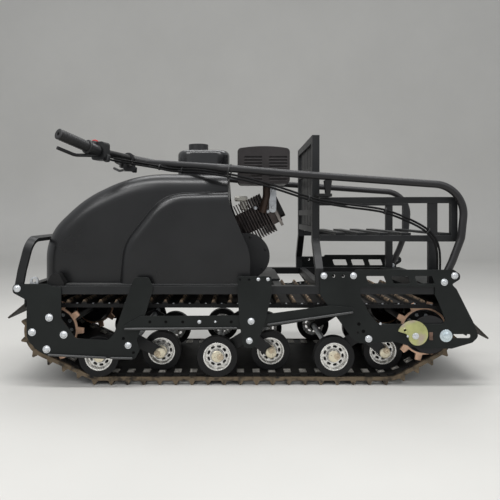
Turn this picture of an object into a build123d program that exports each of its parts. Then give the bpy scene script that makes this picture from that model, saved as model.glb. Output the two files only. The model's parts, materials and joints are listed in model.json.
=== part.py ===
from build123d import *
import math
import os

# Tracked snow tug with a fold-over tiller. Millimetres, +Z up.
# The front of the machine looks along -X, its left side is at -Y.
# While it is built, X = 0 lies midway between the front and rear wheels,
# and place_all() then centres the whole machine on the origin.

# Track
TRACK_HALF = 250.0
PITCH = 52.4
TEETH = 10
BELT_T = 12.0
LUG_H = 14.0
LUG_BASE = 20.0
LUG_TIP = 5.0
WINDOW_L = 30.0
WINDOW_W = 16.0
SPROCKET_Y = TRACK_HALF - 24.0
SPROCKET_T = 8.0
FRONT_AXLE = (-607.0, 173.0)
REAR_AXLE = (597.0, 170.0)
RUNNING = 0.3

# Road wheels: place along the track and whether the wheel runs outboard
WHEEL_R = 65.0
WHEEL_W = 28.0
WHEEL_GAP = 17.0
RIM_R = 45.0
RIM_HOLES = 9
HUB_R = 18.0
ROCKER_T = 6.0
OUTBOARD_Y = TRACK_HALF - WHEEL_W
ROCKER_Y = OUTBOARD_Y - WHEEL_GAP - ROCKER_T
INBOARD_Y = ROCKER_Y - WHEEL_GAP - WHEEL_W
WHEEL_AXLE_R = 10.0
# columns: x, inner face y
WHEELS = (
    (-457.0, OUTBOARD_Y),
    (-265.0, INBOARD_Y),
    (-75.0, OUTBOARD_Y),
    (101.0, INBOARD_Y),
    (302.0, OUTBOARD_Y),
    (478.0, INBOARD_Y),
)
WHEEL_Z = LUG_H + BELT_T + RUNNING + WHEEL_R
# columns: x, z of each bogie's pivot bolt
BOGIES = ((-353.0, 137.0), (28.0, 151.0), (403.0, 158.0))

# Side frames
PLATE_IN = TRACK_HALF + 34.5
PLATE_T = 5.0
RAIL_W = 26.0
RAIL_LOW = 298.0
RAIL_TOP = 324.0
RAIL_FRONT = -684.0
RAIL_REAR = 617.0
STRAP_T = 4.0

# Tiller
TILLER_R = 12.0
PIVOT = (643.0, 335.0)
PIVOT_R = 8.0
EYE_R = 17.0
EYE_W = 20.0
TILLER_Y = PLATE_IN - 7.3 - EYE_W / 2
# columns: x, z of the tiller's two long side runs, from the rear corner forward
TILLER_REAR = (720.0, 639.0)
TILLER_MIDDLE = (189.0, 677.0)
PIN_GAP = 0.15

# Hood
HOOD_WALL = 4.0
HOOD_HALF = PLATE_IN - 52.5
BULGE_HALF = HOOD_HALF + 30.0

pieces = {}


def slab(outline, low, high):
    """Prism of a side-view outline, drawn as (x, z), between two places across the machine."""
    return extrude(Plane.XZ.offset(-low) * outline, amount=low - high)


def outline(points):
    """Closed side-view shape through points of x, z and corner radius."""
    shape = make_face(Polyline([(x, z) for x, z, r in points], close=True))
    for x, z, r in points:
        if r:
            corner = shape.vertices().sort_by_distance((x, z, 0))[0]
            shape = fillet(corner, r)
    return shape


def disc(x, z, radius, low, high):
    """Round bar across the machine."""
    return slab(Pos(x, z) * Circle(radius), low, high)


def tube(points, radius, bend):
    """Round tube along straight runs joined by tangent bends."""
    path = FilletPolyline(*points, radius=bend) if len(points) > 2 else Line(*points)
    return sweep(Plane(path @ 0, z_dir=path % 0) * Circle(radius), path=path)


def mitred(points, size, across):
    """Square tube with mitred corners, one pair of its sides facing the direction across."""
    path = Polyline(*points)
    start = Plane(path @ 0, x_dir=across, z_dir=path % 0)
    return sweep(start * Rectangle(size, size), path=path, transition=Transition.RIGHT)


def right(shape):
    """The same piece on the other side of the machine."""
    return mirror(shape, about=Plane.XZ)


def save(name, *solids):
    """Keep the solids of one node until the whole machine is placed."""
    pieces[name] = list(solids)


def save_pairs(name, *solids):
    """One node with each solid and its mirror image on the other side of the machine."""
    save(name, *solids, *[right(solid) for solid in solids])


# Track loop: circles that the belt runs round, in order over the top and back
SPROCKET_R = TEETH * PITCH / (2 * math.pi)
BELT_IN_R = SPROCKET_R - BELT_T / 2
LOOP = (
    (FRONT_AXLE, BELT_IN_R),
    (REAR_AXLE, BELT_IN_R),
    ((WHEELS[-1][0], WHEEL_Z), WHEEL_R + RUNNING),
    ((WHEELS[0][0], WHEEL_Z), WHEEL_R + RUNNING),
)


def tangent_normal(start, end):
    """Outward normal of the belt's straight run from one circle to the next."""
    (x0, z0), r0 = start
    (x1, z1), r1 = end
    reach = math.hypot(x1 - x0, z1 - z0)
    along = ((x1 - x0) / reach, (z1 - z0) / reach)
    lean = (r0 - r1) / reach
    up = math.sqrt(1 - lean * lean)
    return (lean * along[0] - up * along[1], lean * along[1] + up * along[0])


def loop_line(offset):
    """Closed side-view line of the loop, offset outwards from the belt's inner face."""
    edges = []
    normals = [tangent_normal(LOOP[i], LOOP[(i + 1) % len(LOOP)]) for i in range(len(LOOP))]

    def touch(i, normal):
        (x, z), r = LOOP[i]
        return (x + (r + offset) * normal[0], z + (r + offset) * normal[1])

    for i in range(len(LOOP)):
        following = (i + 1) % len(LOOP)
        leave = touch(following, normals[following])
        arrive = touch(following, normals[i])
        middle = (normals[i][0] + normals[following][0], normals[i][1] + normals[following][1])
        size = math.hypot(*middle)
        crest = touch(following, (middle[0] / size, middle[1] / size))
        edges.append(Line(touch(i, normals[i]), arrive))
        edges.append(ThreePointArc(arrive, crest, leave))
    return Wire(edges)


def loop_places(shift):
    """Point and outward angle of each pitch along the belt's middle line."""
    line = loop_line(BELT_T / 2)
    count = round(line.length / PITCH)
    places = []
    for i in range(count):
        along = line.length * ((i + shift) % count) / count
        point = line.position_at(along, position_mode=PositionMode.LENGTH)
        way = line.tangent_at(along, position_mode=PositionMode.LENGTH)
        angle = math.degrees(math.atan2(way.Y, way.X)) + 90
        places.append((point.X, point.Y, angle))
    return places


def track_loop():
    band = make_face(loop_line(BELT_T)) - make_face(loop_line(0))
    root = BELT_T / 2
    lug = make_face(
        Polyline(
            (root - 1, -LUG_BASE / 2),
            (root, -LUG_BASE / 2),
            (root + LUG_H, -LUG_TIP / 2),
            (root + LUG_H, LUG_TIP / 2),
            (root, LUG_BASE / 2),
            (root - 1, LUG_BASE / 2),
            close=True,
        )
    )
    for x, z, angle in loop_places(0):
        band += Pos(x, z) * Rot(0, 0, angle) * lug
    belt = slab(band, -TRACK_HALF, TRACK_HALF)
    gap = Rectangle(BELT_T * 2, WINDOW_L)
    cuts = []
    middle = SPROCKET_Y + SPROCKET_T / 2
    for x, z, angle in loop_places(0.5):
        hole = slab(Pos(x, z) * Rot(0, 0, angle) * gap, middle - WINDOW_W / 2, middle + WINDOW_W / 2)
        cuts += [hole, right(hole)]
    return belt - cuts


def sprocket_phase(axle):
    """Angle of one belt window that is wrapped on this sprocket."""
    nearest = min(
        loop_places(0.5),
        key=lambda p: abs(math.hypot(p[0] - axle[0], p[1] - axle[1]) - SPROCKET_R) + abs(p[1] - axle[1]),
    )
    return math.degrees(math.atan2(nearest[1] - axle[1], nearest[0] - axle[0]))


SPROCKET_BORE = 71.0
TOOTH_OUT = 13.0
TOOTH_ROOT = 22.0
TOOTH_TIP = 17.0


def sprocket(axle):
    """Laser-cut ring with trapezoid teeth that reach through the belt's windows."""
    root = BELT_IN_R - 0.6
    ring = Circle(root) - Circle(SPROCKET_BORE)
    tip = SPROCKET_R + TOOTH_OUT
    tooth = make_face(
        Polyline(
            (root - 2, -TOOTH_ROOT / 2),
            (tip, -TOOTH_TIP / 2),
            (tip, TOOTH_TIP / 2),
            (root - 2, TOOTH_ROOT / 2),
            close=True,
        )
    )
    for i in range(TEETH):
        ring += Rot(0, 0, sprocket_phase(axle) + i * 360 / TEETH) * tooth
    return slab(Pos(*axle) * ring, SPROCKET_Y, SPROCKET_Y + SPROCKET_T)


AXLE_R = 15.0
HUB_RIM_R = SPROCKET_BORE - PIN_GAP
HUB_FLOOR_R = 58.0
HUB_DEEP = 30.0
HUB_WALL = 8.0


def axle(place):
    """Drive shaft with the two dished hubs whose rims carry the sprocket rings."""
    face = SPROCKET_Y + SPROCKET_T
    floor = face - HUB_DEEP
    profile = Polyline(
        (AXLE_R - 1, floor - HUB_WALL - 30),
        (30, floor - HUB_WALL - 30),
        (30, floor - HUB_WALL),
        (HUB_FLOOR_R + 4, floor - HUB_WALL),
        (HUB_RIM_R, SPROCKET_Y),
        (HUB_RIM_R, face),
        (HUB_RIM_R - 4, face),
        (HUB_FLOOR_R, floor),
        (AXLE_R - 1, floor),
        close=True,
    )
    hub = Pos(place[0], 0, place[1]) * revolve(make_face(profile), axis=Axis.Y)
    return disc(*place, AXLE_R, -PLATE_IN, PLATE_IN) + hub + right(hub)


BEARING_R = 60.0
BEARING_Y = TRACK_HALF + 8.0


def bearing(place):
    """Flanged bearing housing between shaft and side plate."""
    body = disc(*place, BEARING_R, PLATE_IN - 8, PLATE_IN)
    body += disc(*place, 38, BEARING_Y, PLATE_IN)
    return body - disc(*place, AXLE_R + PIN_GAP, 0, 400)


def wheel_tyre(x, y):
    ring = Circle(WHEEL_R) - Circle(RIM_R)
    return slab(Pos(x, WHEEL_Z) * ring, y, y + WHEEL_W)


def wheel_rim():
    """Pressed rim with oval pockets and a dished face that points outboard."""
    profile = Polyline(
        (WHEEL_AXLE_R + PIN_GAP, 4),
        (RIM_R, 4),
        (RIM_R, WHEEL_W),
        (RIM_R - 4, WHEEL_W),
        (RIM_R - 8, 14),
        (HUB_R + 4, 14),
        (HUB_R, WHEEL_W - 2),
        (WHEEL_AXLE_R + PIN_GAP, WHEEL_W - 2),
        close=True,
    )
    rim = revolve(make_face(profile), axis=Axis.Y)
    middle = (HUB_R + 4 + RIM_R - 8) / 2
    pocket = Pos(middle, 0) * Rot(0, 0, 90) * SlotOverall(14, 8)
    pockets = [slab(Rot(0, 0, i * 360 / RIM_HOLES) * pocket, -1, WHEEL_W) for i in range(RIM_HOLES)]
    return rim - pockets


def rocker(pivot, front, rear):
    """Bogie arm from the pivot down to its two wheel shafts."""
    arm = make_hull(
        (Pos(*pivot) * Circle(20)).edges() + (Pos(front, WHEEL_Z) * Circle(17)).edges()
    )
    arm += make_hull(
        (Pos(*pivot) * Circle(20)).edges() + (Pos(rear, WHEEL_Z) * Circle(17)).edges()
    )
    arm -= Pos(*pivot) * Circle(BOGIE_SHAFT_R + PIN_GAP)
    arm -= Pos(front, WHEEL_Z) * Circle(WHEEL_AXLE_R + PIN_GAP)
    arm -= Pos(rear, WHEEL_Z) * Circle(WHEEL_AXLE_R + PIN_GAP)
    return slab(arm, ROCKER_Y, ROCKER_Y + ROCKER_T)


BOGIE_SHAFT_R = 11.0


def running_gear():
    save("track_loop", track_loop())
    ends = (FRONT_AXLE, REAR_AXLE)
    save_pairs("sprockets", *[sprocket(place) for place in ends])
    save("drive_axles", *[axle(place) for place in ends])
    save_pairs("axle_bearings", *[bearing(place) for place in ends])
    save_pairs("wheel_tyres", *[wheel_tyre(x, y) for x, y in WHEELS])
    rim = wheel_rim()
    save_pairs("wheel_rims", *[Pos(x, y, WHEEL_Z) * rim for x, y in WHEELS])
    shafts = [disc(x, WHEEL_Z, WHEEL_AXLE_R, -y - WHEEL_W - 1, y + WHEEL_W + 1) for x, y in WHEELS]
    save("wheel_shafts", *shafts)
    rockers = [
        rocker(BOGIES[i], WHEELS[2 * i][0], WHEELS[2 * i + 1][0]) for i in range(len(BOGIES))
    ]
    save_pairs("bogie_rockers", *rockers)
    save("bogie_pivots", *[disc(x, z, BOGIE_SHAFT_R, -PLATE_IN, PLATE_IN) for x, z in BOGIES])


# Side plates, as corners of x, z and radius
FRONT_PLATE = (
    (-716, 331, 14), (-610, 331, 6), (-580, 320, 4), (-564, 320, 3), (-564, 223, 6),
    (-518, 160, 8), (-417, 154, 8), (-398, 173, 5), (-349, 312, 8), (-332, 352, 12),
    (-288, 352, 12), (-274, 318, 10), (-313, 192, 10), (-326, 154, 10), (-317, 122, 10),
    (-332, 95, 12), (-411, 97, 6), (-609, 107, 10), (-638, 123, 8), (-663, 148, 10),
    (-672, 167, 6), (-672, 280, 8), (-716, 304, 12),
)
MIDDLE_PLATE = (
    (-9, 356, 6), (97, 356, 6), (97, 298, 14), (74, 202, 14), (61, 170, 14),
    (46, 133, 17), (10, 133, 17), (2, 175, 14), (-2, 202, 14), (-9, 298, 10),
)
REAR_PLATE = (
    (250, 369, 6), (357, 369, 4), (363, 376, 4), (670, 376, 4), (690, 362, 12),
    (690, 346, 10), (664, 330, 5), (679, 315, 6), (732, 210, 12), (748, 166, 14), (729, 147, 12),
    (664, 128, 10), (554, 129, 12), (486, 149, 12), (372, 145, 14), (351, 160, 10),
    (250, 297, 8),
)
REAR_WINDOW = (
    (376, 322, 4), (376, 294, 6), (405, 238, 12), (433, 207, 8), (446, 205, 6),
    (635, 205, 8), (644, 217, 5), (622, 274, 8), (611, 296, 6), (611, 322, 4),
)
# columns: first x and last x of each slanted slot along the top
TOP_SLOTS = ((394.0, 460.0), (473.0, 534.0), (547.0, 611.0))
SLOT_SLANT = 9.0


def front_plate():
    plate = outline(FRONT_PLATE)
    for x, z, r in ((-368, 160, 5), (-337, 115, 4)):
        plate -= Pos(x, z) * Circle(r)
    return slab(plate, -PLATE_IN - PLATE_T, -PLATE_IN)


def middle_plate():
    plate = outline(MIDDLE_PLATE)
    for x, z, r in ((-2, 346, 4), (27, 346, 4)):
        plate -= Pos(x, z) * Circle(r)
    out = PLATE_IN + PLATE_T + STRAP_T
    shape = slab(plate, -out - PLATE_T, -out)
    for x, z in ((55, 340), (87, 340)):
        shape += disc(x, z - 28, 10, -out, -PLATE_IN)
    return shape


def rear_plate():
    plate = outline(REAR_PLATE) - outline(REAR_WINDOW)
    for low, high in TOP_SLOTS:
        plate -= outline(
            ((low, 356, 3), (high - SLOT_SLANT, 356, 3), (high, 331.5, 3), (low + SLOT_SLANT, 331.5, 3))
        )
    plate -= Pos(693.5, 167) * SlotOverall(61, 13)
    for x, z, r in ((293, 356, 5), (323, 356, 5), (674, 356, 8), (368, 178, 5)):
        plate -= Pos(x, z) * Circle(r)
    return slab(plate, -PLATE_IN - PLATE_T, -PLATE_IN)


FRONT_STRAP = (
    (-367, 180, 10), (-367, 200, 10), (-313, 231, 10), (40, 233, 4), (40, 190, 4), (-313, 186, 10),
)
SLANT_STRAP = ((44, 232, 4), (282, 264, 8), (356, 258, 10), (356, 240, 8), (44, 190, 4))


def side_frames():
    save_pairs("front_plates", front_plate())
    save_pairs("middle_plates", middle_plate())
    save_pairs("rear_plates", rear_plate())
    rail = Pos((RAIL_FRONT + RAIL_REAR) / 2, -(PLATE_IN - RAIL_W / 2), (RAIL_LOW + RAIL_TOP) / 2) * Box(
        RAIL_REAR - RAIL_FRONT, RAIL_W, RAIL_TOP - RAIL_LOW
    )
    save_pairs("upper_rails", rail)
    inner = PLATE_IN + PLATE_T
    straps = [slab(outline(shape), -inner - STRAP_T, -inner) for shape in (FRONT_STRAP, SLANT_STRAP)]
    save_pairs("lower_rails", *straps)


# Middle x of each cross member between the upper rails
CROSS_X = (-676.0, -540.0, -380.0, -220.0, -60.0, 120.0, 262.0, 600.0)
CROSS_W = 24.0


def cross_members():
    span = 2 * (PLATE_IN - RAIL_W)
    bars = [
        Pos(x, 0, (RAIL_LOW + RAIL_TOP) / 2) * Box(CROSS_W, span, RAIL_TOP - RAIL_LOW) for x in CROSS_X
    ]
    save("cross_members", *bars)


CAM_CENTRE = (548.0, 169.0)
CAM_SMALL = 20.0
CAM_GROWTH = 35.6
CAM_TURN = 345


def tension_cam():
    """Snail-shaped track adjuster: its radius grows from the notch round to the nose."""
    rim = []
    for turn in range(0, CAM_TURN + 1, 15):
        radius = CAM_SMALL + CAM_GROWTH * turn / CAM_TURN
        angle = math.radians(180 + turn)
        rim.append((CAM_CENTRE[0] + radius * math.cos(angle), CAM_CENTRE[1] + radius * math.sin(angle)))
    hook = (516, 176.5)
    cam = make_face(Wire([Spline(*rim), Line(rim[-1], hook), Line(hook, rim[0])]))
    cam -= Pos(515, 187) * Circle(4)
    out = PLATE_IN + PLATE_T
    return slab(cam, -out - 6, -out)


HOOP_R = 12.0
HOOP_X = 249.0
HOOP_Y = PLATE_IN - 87.5
HOOP_TOP = 800.0
RACK_R = 10.0
RACK_Y = TILLER_Y - TILLER_R - 7.2 - RACK_R
RACK_FRONT_Y = HOOP_Y + 6.0
RACK_TOP = 596.0
RACK_LOW = 472.0
RACK_BEND = 600.0
RACK_END = 690.0
LEG_X = 622.0
GUARD_TOP = RAIL_TOP + 4.0
REST_LOW = RACK_TOP + RACK_R + RUNNING
REST_T = 9.7
PANEL_LOW = 490.0


def cargo_rack():
    foot_y = PLATE_IN - HOOP_R - RUNNING
    half = [
        (HOOP_X, -foot_y, RAIL_TOP),
        (HOOP_X, -foot_y, 375),
        (HOOP_X, -HOOP_Y, 465),
        (HOOP_X, -HOOP_Y, HOOP_TOP),
    ]
    legs = half + [(x, -y, z) for x, y, z in reversed(half)]
    save("cargo_hoop", mitred(legs, 2 * HOOP_R, (1, 0, 0)))
    start = HOOP_X + HOOP_R + 1.6
    frame = mitred(
        [
            (start, -RACK_FRONT_Y, RACK_TOP),
            (RACK_BEND, -RACK_Y, RACK_TOP),
            (RACK_END, -RACK_Y, RACK_TOP),
            (RACK_END, -RACK_Y, RACK_LOW),
            (RACK_BEND, -RACK_Y, RACK_LOW),
            (start, -RACK_FRONT_Y, RACK_LOW),
        ],
        2 * RACK_R,
        (0, 0, 1),
    )
    foot = GUARD_TOP + RUNNING
    leg = Pos(LEG_X, -RACK_Y, (foot + RACK_TOP) / 2) * Box(28, 16, RACK_TOP - foot)
    save_pairs("rack_sides", frame + leg)
    slats = []
    for x in (330.0, 400.0, 470.0, 540.0, 662.0):
        reach = RACK_FRONT_Y + (RACK_Y - RACK_FRONT_Y) * min(1.0, (x - start) / (RACK_BEND - start))
        slats.append(Pos(x, 0, RACK_LOW + RACK_R + 4) * Box(30, 2 * reach, 8))
    save("rack_floor", *slats)
    tall = HOOP_TOP - HOOP_R - RUNNING - PANEL_LOW
    bars = [
        Pos(HOOP_X, y, PANEL_LOW + tall / 2) * Box(6, 34, tall) for y in (-132, -88, -44, 0, 44, 88, 132)
    ]
    bars += [Pos(HOOP_X - 7, 0, z) * Box(8, 2 * (HOOP_Y - HOOP_R) - 1, 20) for z in (500, 556, 700)]
    save("hoop_panel", *[sum_of(bars)])
    save_pairs("tiller_rests", tiller_rest())


def tiller_rest():
    """Flat arm from the hoop's leg with a tapered block whose top lies just under the tiller."""
    high = REST_LOW + REST_T
    arm = outline(((245, REST_LOW, 0), (245, high, 2), (290, high, 2), (290, REST_LOW, 0)))
    slope = (TILLER_REAR[1] - TILLER_MIDDLE[1]) / (TILLER_REAR[0] - TILLER_MIDDLE[0])
    under = TILLER_R * math.sqrt(1 + slope * slope) + 0.4
    top = [TILLER_MIDDLE[1] + slope * (x - TILLER_MIDDLE[0]) - under for x in (266, 290)]
    block = outline(((266, top[0], 3), (290, top[1], 3), (285, high - 1, 0), (271, high - 1, 0)))
    out = TILLER_Y + 9.8
    return slab(arm, -out, -HOOP_Y - HOOP_R - RUNNING) + slab(block, -out, -out + 22)


def sum_of(solids):
    """Fuse a list of solids."""
    whole = solids[0]
    for solid in solids[1:]:
        whole += solid
    return whole


def tiller():
    half = [
        (PIVOT[0] + 5, -TILLER_Y, PIVOT[1] + 10),
        (674, -TILLER_Y, 399),
        (703, -TILLER_Y, 475),
        (TILLER_REAR[0], -TILLER_Y, TILLER_REAR[1]),
        (TILLER_MIDDLE[0], -TILLER_Y, TILLER_MIDDLE[1]),
        (-55, -TILLER_Y, 698),
        (-345, 0, 742),
    ]
    path = FilletPolyline(
        *(half + [(x, -y, z) for x, y, z in reversed(half[:-1])]),
        radius=[60, 60, 95, 90, 60, 22, 60, 90, 95, 60, 60],
    )
    frame = sweep(Plane(path @ 0, z_dir=path % 0) * Circle(TILLER_R), path=path)
    for side in (-1, 1):
        ends = sorted((side * (TILLER_Y - EYE_W / 2), side * (TILLER_Y + EYE_W / 2)))
        frame += disc(*PIVOT, EYE_R, *ends)
        through = sorted((side * (TILLER_Y - EYE_W), side * (TILLER_Y + EYE_W)))
        frame -= disc(*PIVOT, PIVOT_R + PIN_GAP, *through)
    stem = tube([(-322, 0, 738.5), (-396, 0, 753.5)], 15, 1)
    clamp = disc(*BAR_CLAMP, 20, -28, 28)
    frame = frame + stem + clamp
    frame -= disc(*BAR_CLAMP, BAR_R + PIN_GAP, -30, 30)
    save("tiller_frame", frame)
    cables(frame)
    save_pairs("tiller_pins", disc(*PIVOT, PIVOT_R, -PLATE_IN, -TILLER_Y + TILLER_R + 3))
    x, z = BAR_CLAMP
    half = [(x, -50, z), BAR_BEND, GRIP_IN, GRIP_OUT]
    path = [(px, -py, pz) for px, py, pz in reversed(half[1:])] + [(x, 50, z)] + half
    bend = [60, 60, 60, 60, 60, 60]
    wire = FilletPolyline(*path, radius=bend)
    save("handlebar", sweep(Plane(wire @ 0, z_dir=wire % 0) * Circle(BAR_R), path=wire))
    save_pairs("handgrips", grip())
    save_pairs("control_pods", control_pod())
    save_pairs("brake_levers", tube([(-466, -236, 741), (-520, -290, 736), (-556, -342, 752)], 5.5, 60))


BAR_CLAMP = (-411.0, 756.0)
BAR_R = 11.0
BAR_BEND = (-427.0, -110.0, 756.0)
GRIP_R = 16.5
GRIP_IN = (-471.0, -240.0, 758.0)
GRIP_OUT = (-546.0, -360.0, 791.0)


def grip():
    start = Vector(*GRIP_IN)
    way = Vector(*GRIP_OUT) - start
    length = way.length
    way = way.normalized()
    plane = Plane(start + way * 30, z_dir=way)
    ring = extrude(plane * Circle(GRIP_R), amount=length - 30)
    ring += extrude(plane * Circle(GRIP_R + 4), amount=6)
    return ring - extrude(plane * Circle(BAR_R + PIN_GAP), amount=length - 30)


def control_pod():
    way = (Vector(*GRIP_IN) - Vector(*BAR_BEND)).normalized()
    plane = Plane(Vector(*GRIP_IN) - way * 48, z_dir=way)
    body = extrude(plane * RectangleRounded(48, 60, 10), amount=34)
    return body - extrude(plane * Circle(BAR_R + 0.4), amount=60, both=True)


CABLE_R = 3.5
CABLE_HALF = 4.3
# Middle line of the two control cables, from the left pod to the tiller.
# columns: x, y, z
CABLE_FRONT = (
    (-453.8, -195.0, 741.0), (-438.0, -152.0, 739.0), (-413.0, -112.0, 736.0), (-377.0, -82.0, 732.0),
    (-331.0, -74.0, 725.0), (-287.0, -84.0, 717.0), (-246.0, -106.0, 706.0), (-198.0, -150.0, 699.5),
    (-146.0, -203.0, 695.0),
)
# and on along the tiller's left tube to its pivot.
# columns: x, distance outboard of the tube's middle, z
CABLE_SIDE = (
    (-92.0, -19.2, 684.0), (-37.0, 2.8, 674.0), (20.0, 16.8, 661.0), (85.0, 19.8, 643.0),
    (150.0, 19.8, 622.0), (215.0, 20.8, 599.5), (280.0, 20.8, 586.0), (345.0, 20.8, 575.5),
    (405.0, 19.8, 569.0), (455.0, 19.8, 560.5), (505.0, 19.8, 542.0), (552.0, 19.8, 521.0),
    (590.0, 18.8, 498.0), (614.0, 16.8, 470.0), (625.0, 12.8, 437.0), (629.0, 6.8, 408.0),
    (630.3, 2.8, 382.0), (630.3, 2.8, 364.3),
)
CLIP_TOP = 364.0


def cable_points(side):
    """Corners of one cable, half the pair's pitch to one side of the middle line."""
    middle = [Vector(*row) for row in CABLE_FRONT]
    middle += [Vector(x, -TILLER_Y - out, z) for x, out, z in CABLE_SIDE]
    points = []
    for i in range(len(middle)):
        before = middle[max(i - 1, 0)]
        after = middle[min(i + 1, len(middle) - 1)]
        over = (after - before).cross(Vector(0, 1, 0)).normalized()
        points.append(tuple(middle[i] + over * side * CABLE_HALF))
    return points


def cable(points):
    """Cable of straight runs joined by the widest bends that leave a part of each run straight."""
    bends = []
    for before, corner, after in zip(points, points[1:], points[2:]):
        back = Vector(*corner) - Vector(*before)
        ahead = Vector(*after) - Vector(*corner)
        turn = math.radians(back.get_angle(ahead))
        bends.append(0.45 * min(back.length, ahead.length) / math.tan(turn / 2))
    print("cable bends", [round(bend) for bend in bends])
    return tube(points, CABLE_R, bends)


def cables(frame):
    """Throttle and brake cables with the clip on the tiller's left eye that holds their ends."""
    save("throttle_cable", cable(cable_points(1)))
    save("brake_cable", cable(cable_points(-1)))
    clip = outline(((620.5, 340, 2), (620.5, CLIP_TOP, 3), (641.5, CLIP_TOP, 3), (641.5, 340, 0)))
    eye = disc(*PIVOT, EYE_R, -PLATE_IN, -TILLER_Y + EYE_W)
    save("cable_clip", slab(clip, -TILLER_Y - 10.8, -TILLER_Y + 5.2) - eye - frame)


BUMPER_WIDE = 25.0
BUMPER_T = 12.0
BUMPER_X = -703.0
BUFFER_X = -587.0


def front_end():
    y = PLATE_IN - BUMPER_T / 2 - RUNNING
    half = [(BUMPER_X, -y, 306), (-690, -y, 375), (-665, -y, 471)]
    legs = half + [(px, -py, pz) for px, py, pz in reversed(half)]
    wire = FilletPolyline(*legs, radius=[120, 40, 40, 120])
    foot = Plane(wire @ 0, x_dir=(0, 1, 0), z_dir=wire % 0)
    save("front_bumper", sweep(foot * Rectangle(BUMPER_T, BUMPER_WIDE), path=wire))
    save_pairs("hood_buffers", hood_buffer())
    guard_x = CROSS_X[0] - CROSS_W / 2
    guard = outline(((guard_x, 322, 0), (guard_x - 4, 322, 0), (guard_x - 4, 254, 0), (guard_x, 254, 0)))
    save("front_guard", slab(guard, RAIL_W - PLATE_IN, PLATE_IN - RAIL_W))
    flap = outline(
        (
            (guard_x - 4, 276, 0), (guard_x - 9, 276, 0), (guard_x - 9, 262, 5), (-751, 218, 2),
            (-747, 213, 2), (guard_x - 4, 258, 4),
        )
    )
    save("front_flap", slab(flap, -GUARD_HALF, GUARD_HALF))
    eye = Pos(*TOW_EYE) * Circle(13)
    eye += outline(((-668, RAIL_TOP, 0), (-668, 339, 0), (-642, 339, 0), (-642, RAIL_TOP, 0)))
    eye -= Pos(*TOW_EYE) * Circle(7)
    save_pairs("tow_eyes", slab(eye, -PLATE_IN + 10.5, -PLATE_IN + 16.5))


def hood_buffer():
    """Two-lobed rubber rest on the rail beside the hood's nose."""
    lobes = []
    for low, high, radius in ((8.5, 25.0, 19.0), (28.5, 43.5, 15.0)):
        foot = RAIL_TOP + RUNNING
        base = Pos(BUFFER_X, foot + 4) * Rectangle(54, 8)
        crown = Pos(BUFFER_X, foot + 38.5 - radius) * Circle(radius)
        lobes.append(slab(make_hull(base.edges() + crown.edges()), -PLATE_IN + low, -PLATE_IN + high))
    web = Pos(BUFFER_X, RAIL_TOP + RUNNING + 4) * Rectangle(50, 8)
    return lobes[0] + lobes[1] + slab(web, -PLATE_IN + 24, -PLATE_IN + 29)


TOW_EYE = (-655.0, 339.0)
REAR_BAR = (711.0, 200.0)
REAR_BAR_R = 8.0
GUARD_HALF = TRACK_HALF - 2.0
HITCH_X = 775.0
HITCH_Z = 235.0
HITCH_PIN_R = 8.0


def rear_end():
    save("rear_bar", disc(*REAR_BAR, REAR_BAR_R, -PLATE_IN, PLATE_IN))
    sheet = outline(
        (
            (588, 324, 0), (588, 328, 0), (672, 328, 6), (740, 176, 4), (728, 158, 0),
            (724.5, 160.5, 0), (735, 176, 2), (669, 324, 4),
        )
    )
    save("rear_guard", slab(sheet, -GUARD_HALF, GUARD_HALF))
    flap = outline(
        (
            (727, 205.5, 0), (741, 201, 3), (797, 147, 2), (801, 151, 2), (744, 207, 3),
            (730.5, 210, 0),
        )
    )
    save("rear_flap", slab(flap, -GUARD_HALF, GUARD_HALF))
    ears = Pos(755, 0, HITCH_Z) * Box(70, 56, 40) - Pos(760, 0, HITCH_Z) * Box(80, 60, 24)
    back = Pos(716, 0, HITCH_Z) * Box(20, 56, 40)
    hitch = (ears + back) - disc_up(HITCH_X, 0, HITCH_PIN_R, HITCH_Z - 30, HITCH_Z + 30)
    behind = outline(
        (
            (690, 200, 0), (690, 328, 0), (672, 328, 6), (740, 176, 4), (728, 158, 0),
            (600, 158, 0), (600, 328, 0),
        )
    )
    hitch -= slab(behind, -100, 100)
    save("tow_hitch", hitch)


def disc_up(x, y, radius, low, high):
    """Upright round bar."""
    return Pos(x, y, (low + high) / 2) * Cylinder(radius, high - low)


HOOD_LOW = RAIL_TOP + RUNNING
TANK_HOLE_X = -262.0
TANK_HOLE_HALF = 150.0
HOOD_FRONT = -650.0
HOOD_SIDE = ((HOOD_FRONT, 482, 180), (-520, 605, 400), (-350, 686, 450))
BULGE_SIDE = ((-380, 455, 150), (-252, 618, 150))
REAR_EDGE = ((27, 200, 0), (32, 425, 150), (-38, 585, 200), (-50, 800, 0), (300, 800, 0), (300, 200, 0))


def hood_block(front, crown, end_z, half, radius, wall):
    """Block across the machine under one side view, its front and top side edges rounded."""
    low = 290 - 20 * bool(wall)
    back = 100 + 20 * bool(wall)
    face = outline(((front, low, 0),) + crown + ((back, end_z, 0), (back, low, 0)))
    if wall:
        face = offset(face, -wall)
    block = slab(face, wall - half, half - wall)
    side = half - wall
    flanks = []
    for edge in block.edges():
        middle = edge.center()
        if abs(abs(middle.Y) - side) < 0.01 and middle.Z > low + 10 and middle.X < back - 10:
            flanks.append(edge)
    return fillet(flanks, radius - wall)


def hood_form(wall):
    """Main body and side bulges of the hood, wall millimetres inside its outer face."""
    body = hood_block(HOOD_FRONT, HOOD_SIDE, 682, HOOD_HALF, 60, wall)
    return body + hood_block(-396, BULGE_SIDE, 628, BULGE_HALF, 34, wall)


def hood():
    """Moulded cover: one-wall shell, open below and behind, with a hole for the tank."""
    shell = hood_form(0) - hood_form(HOOD_WALL)
    shell -= slab(outline(REAR_EDGE), -400, 400)
    shell -= Pos(TANK_HOLE_X + 200, 0, 660) * Box(400, 2 * TANK_HOLE_HALF, 120)
    return shell - Pos(-300, 0, HOOD_LOW - 50) * Box(900, 700, 100)


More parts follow.
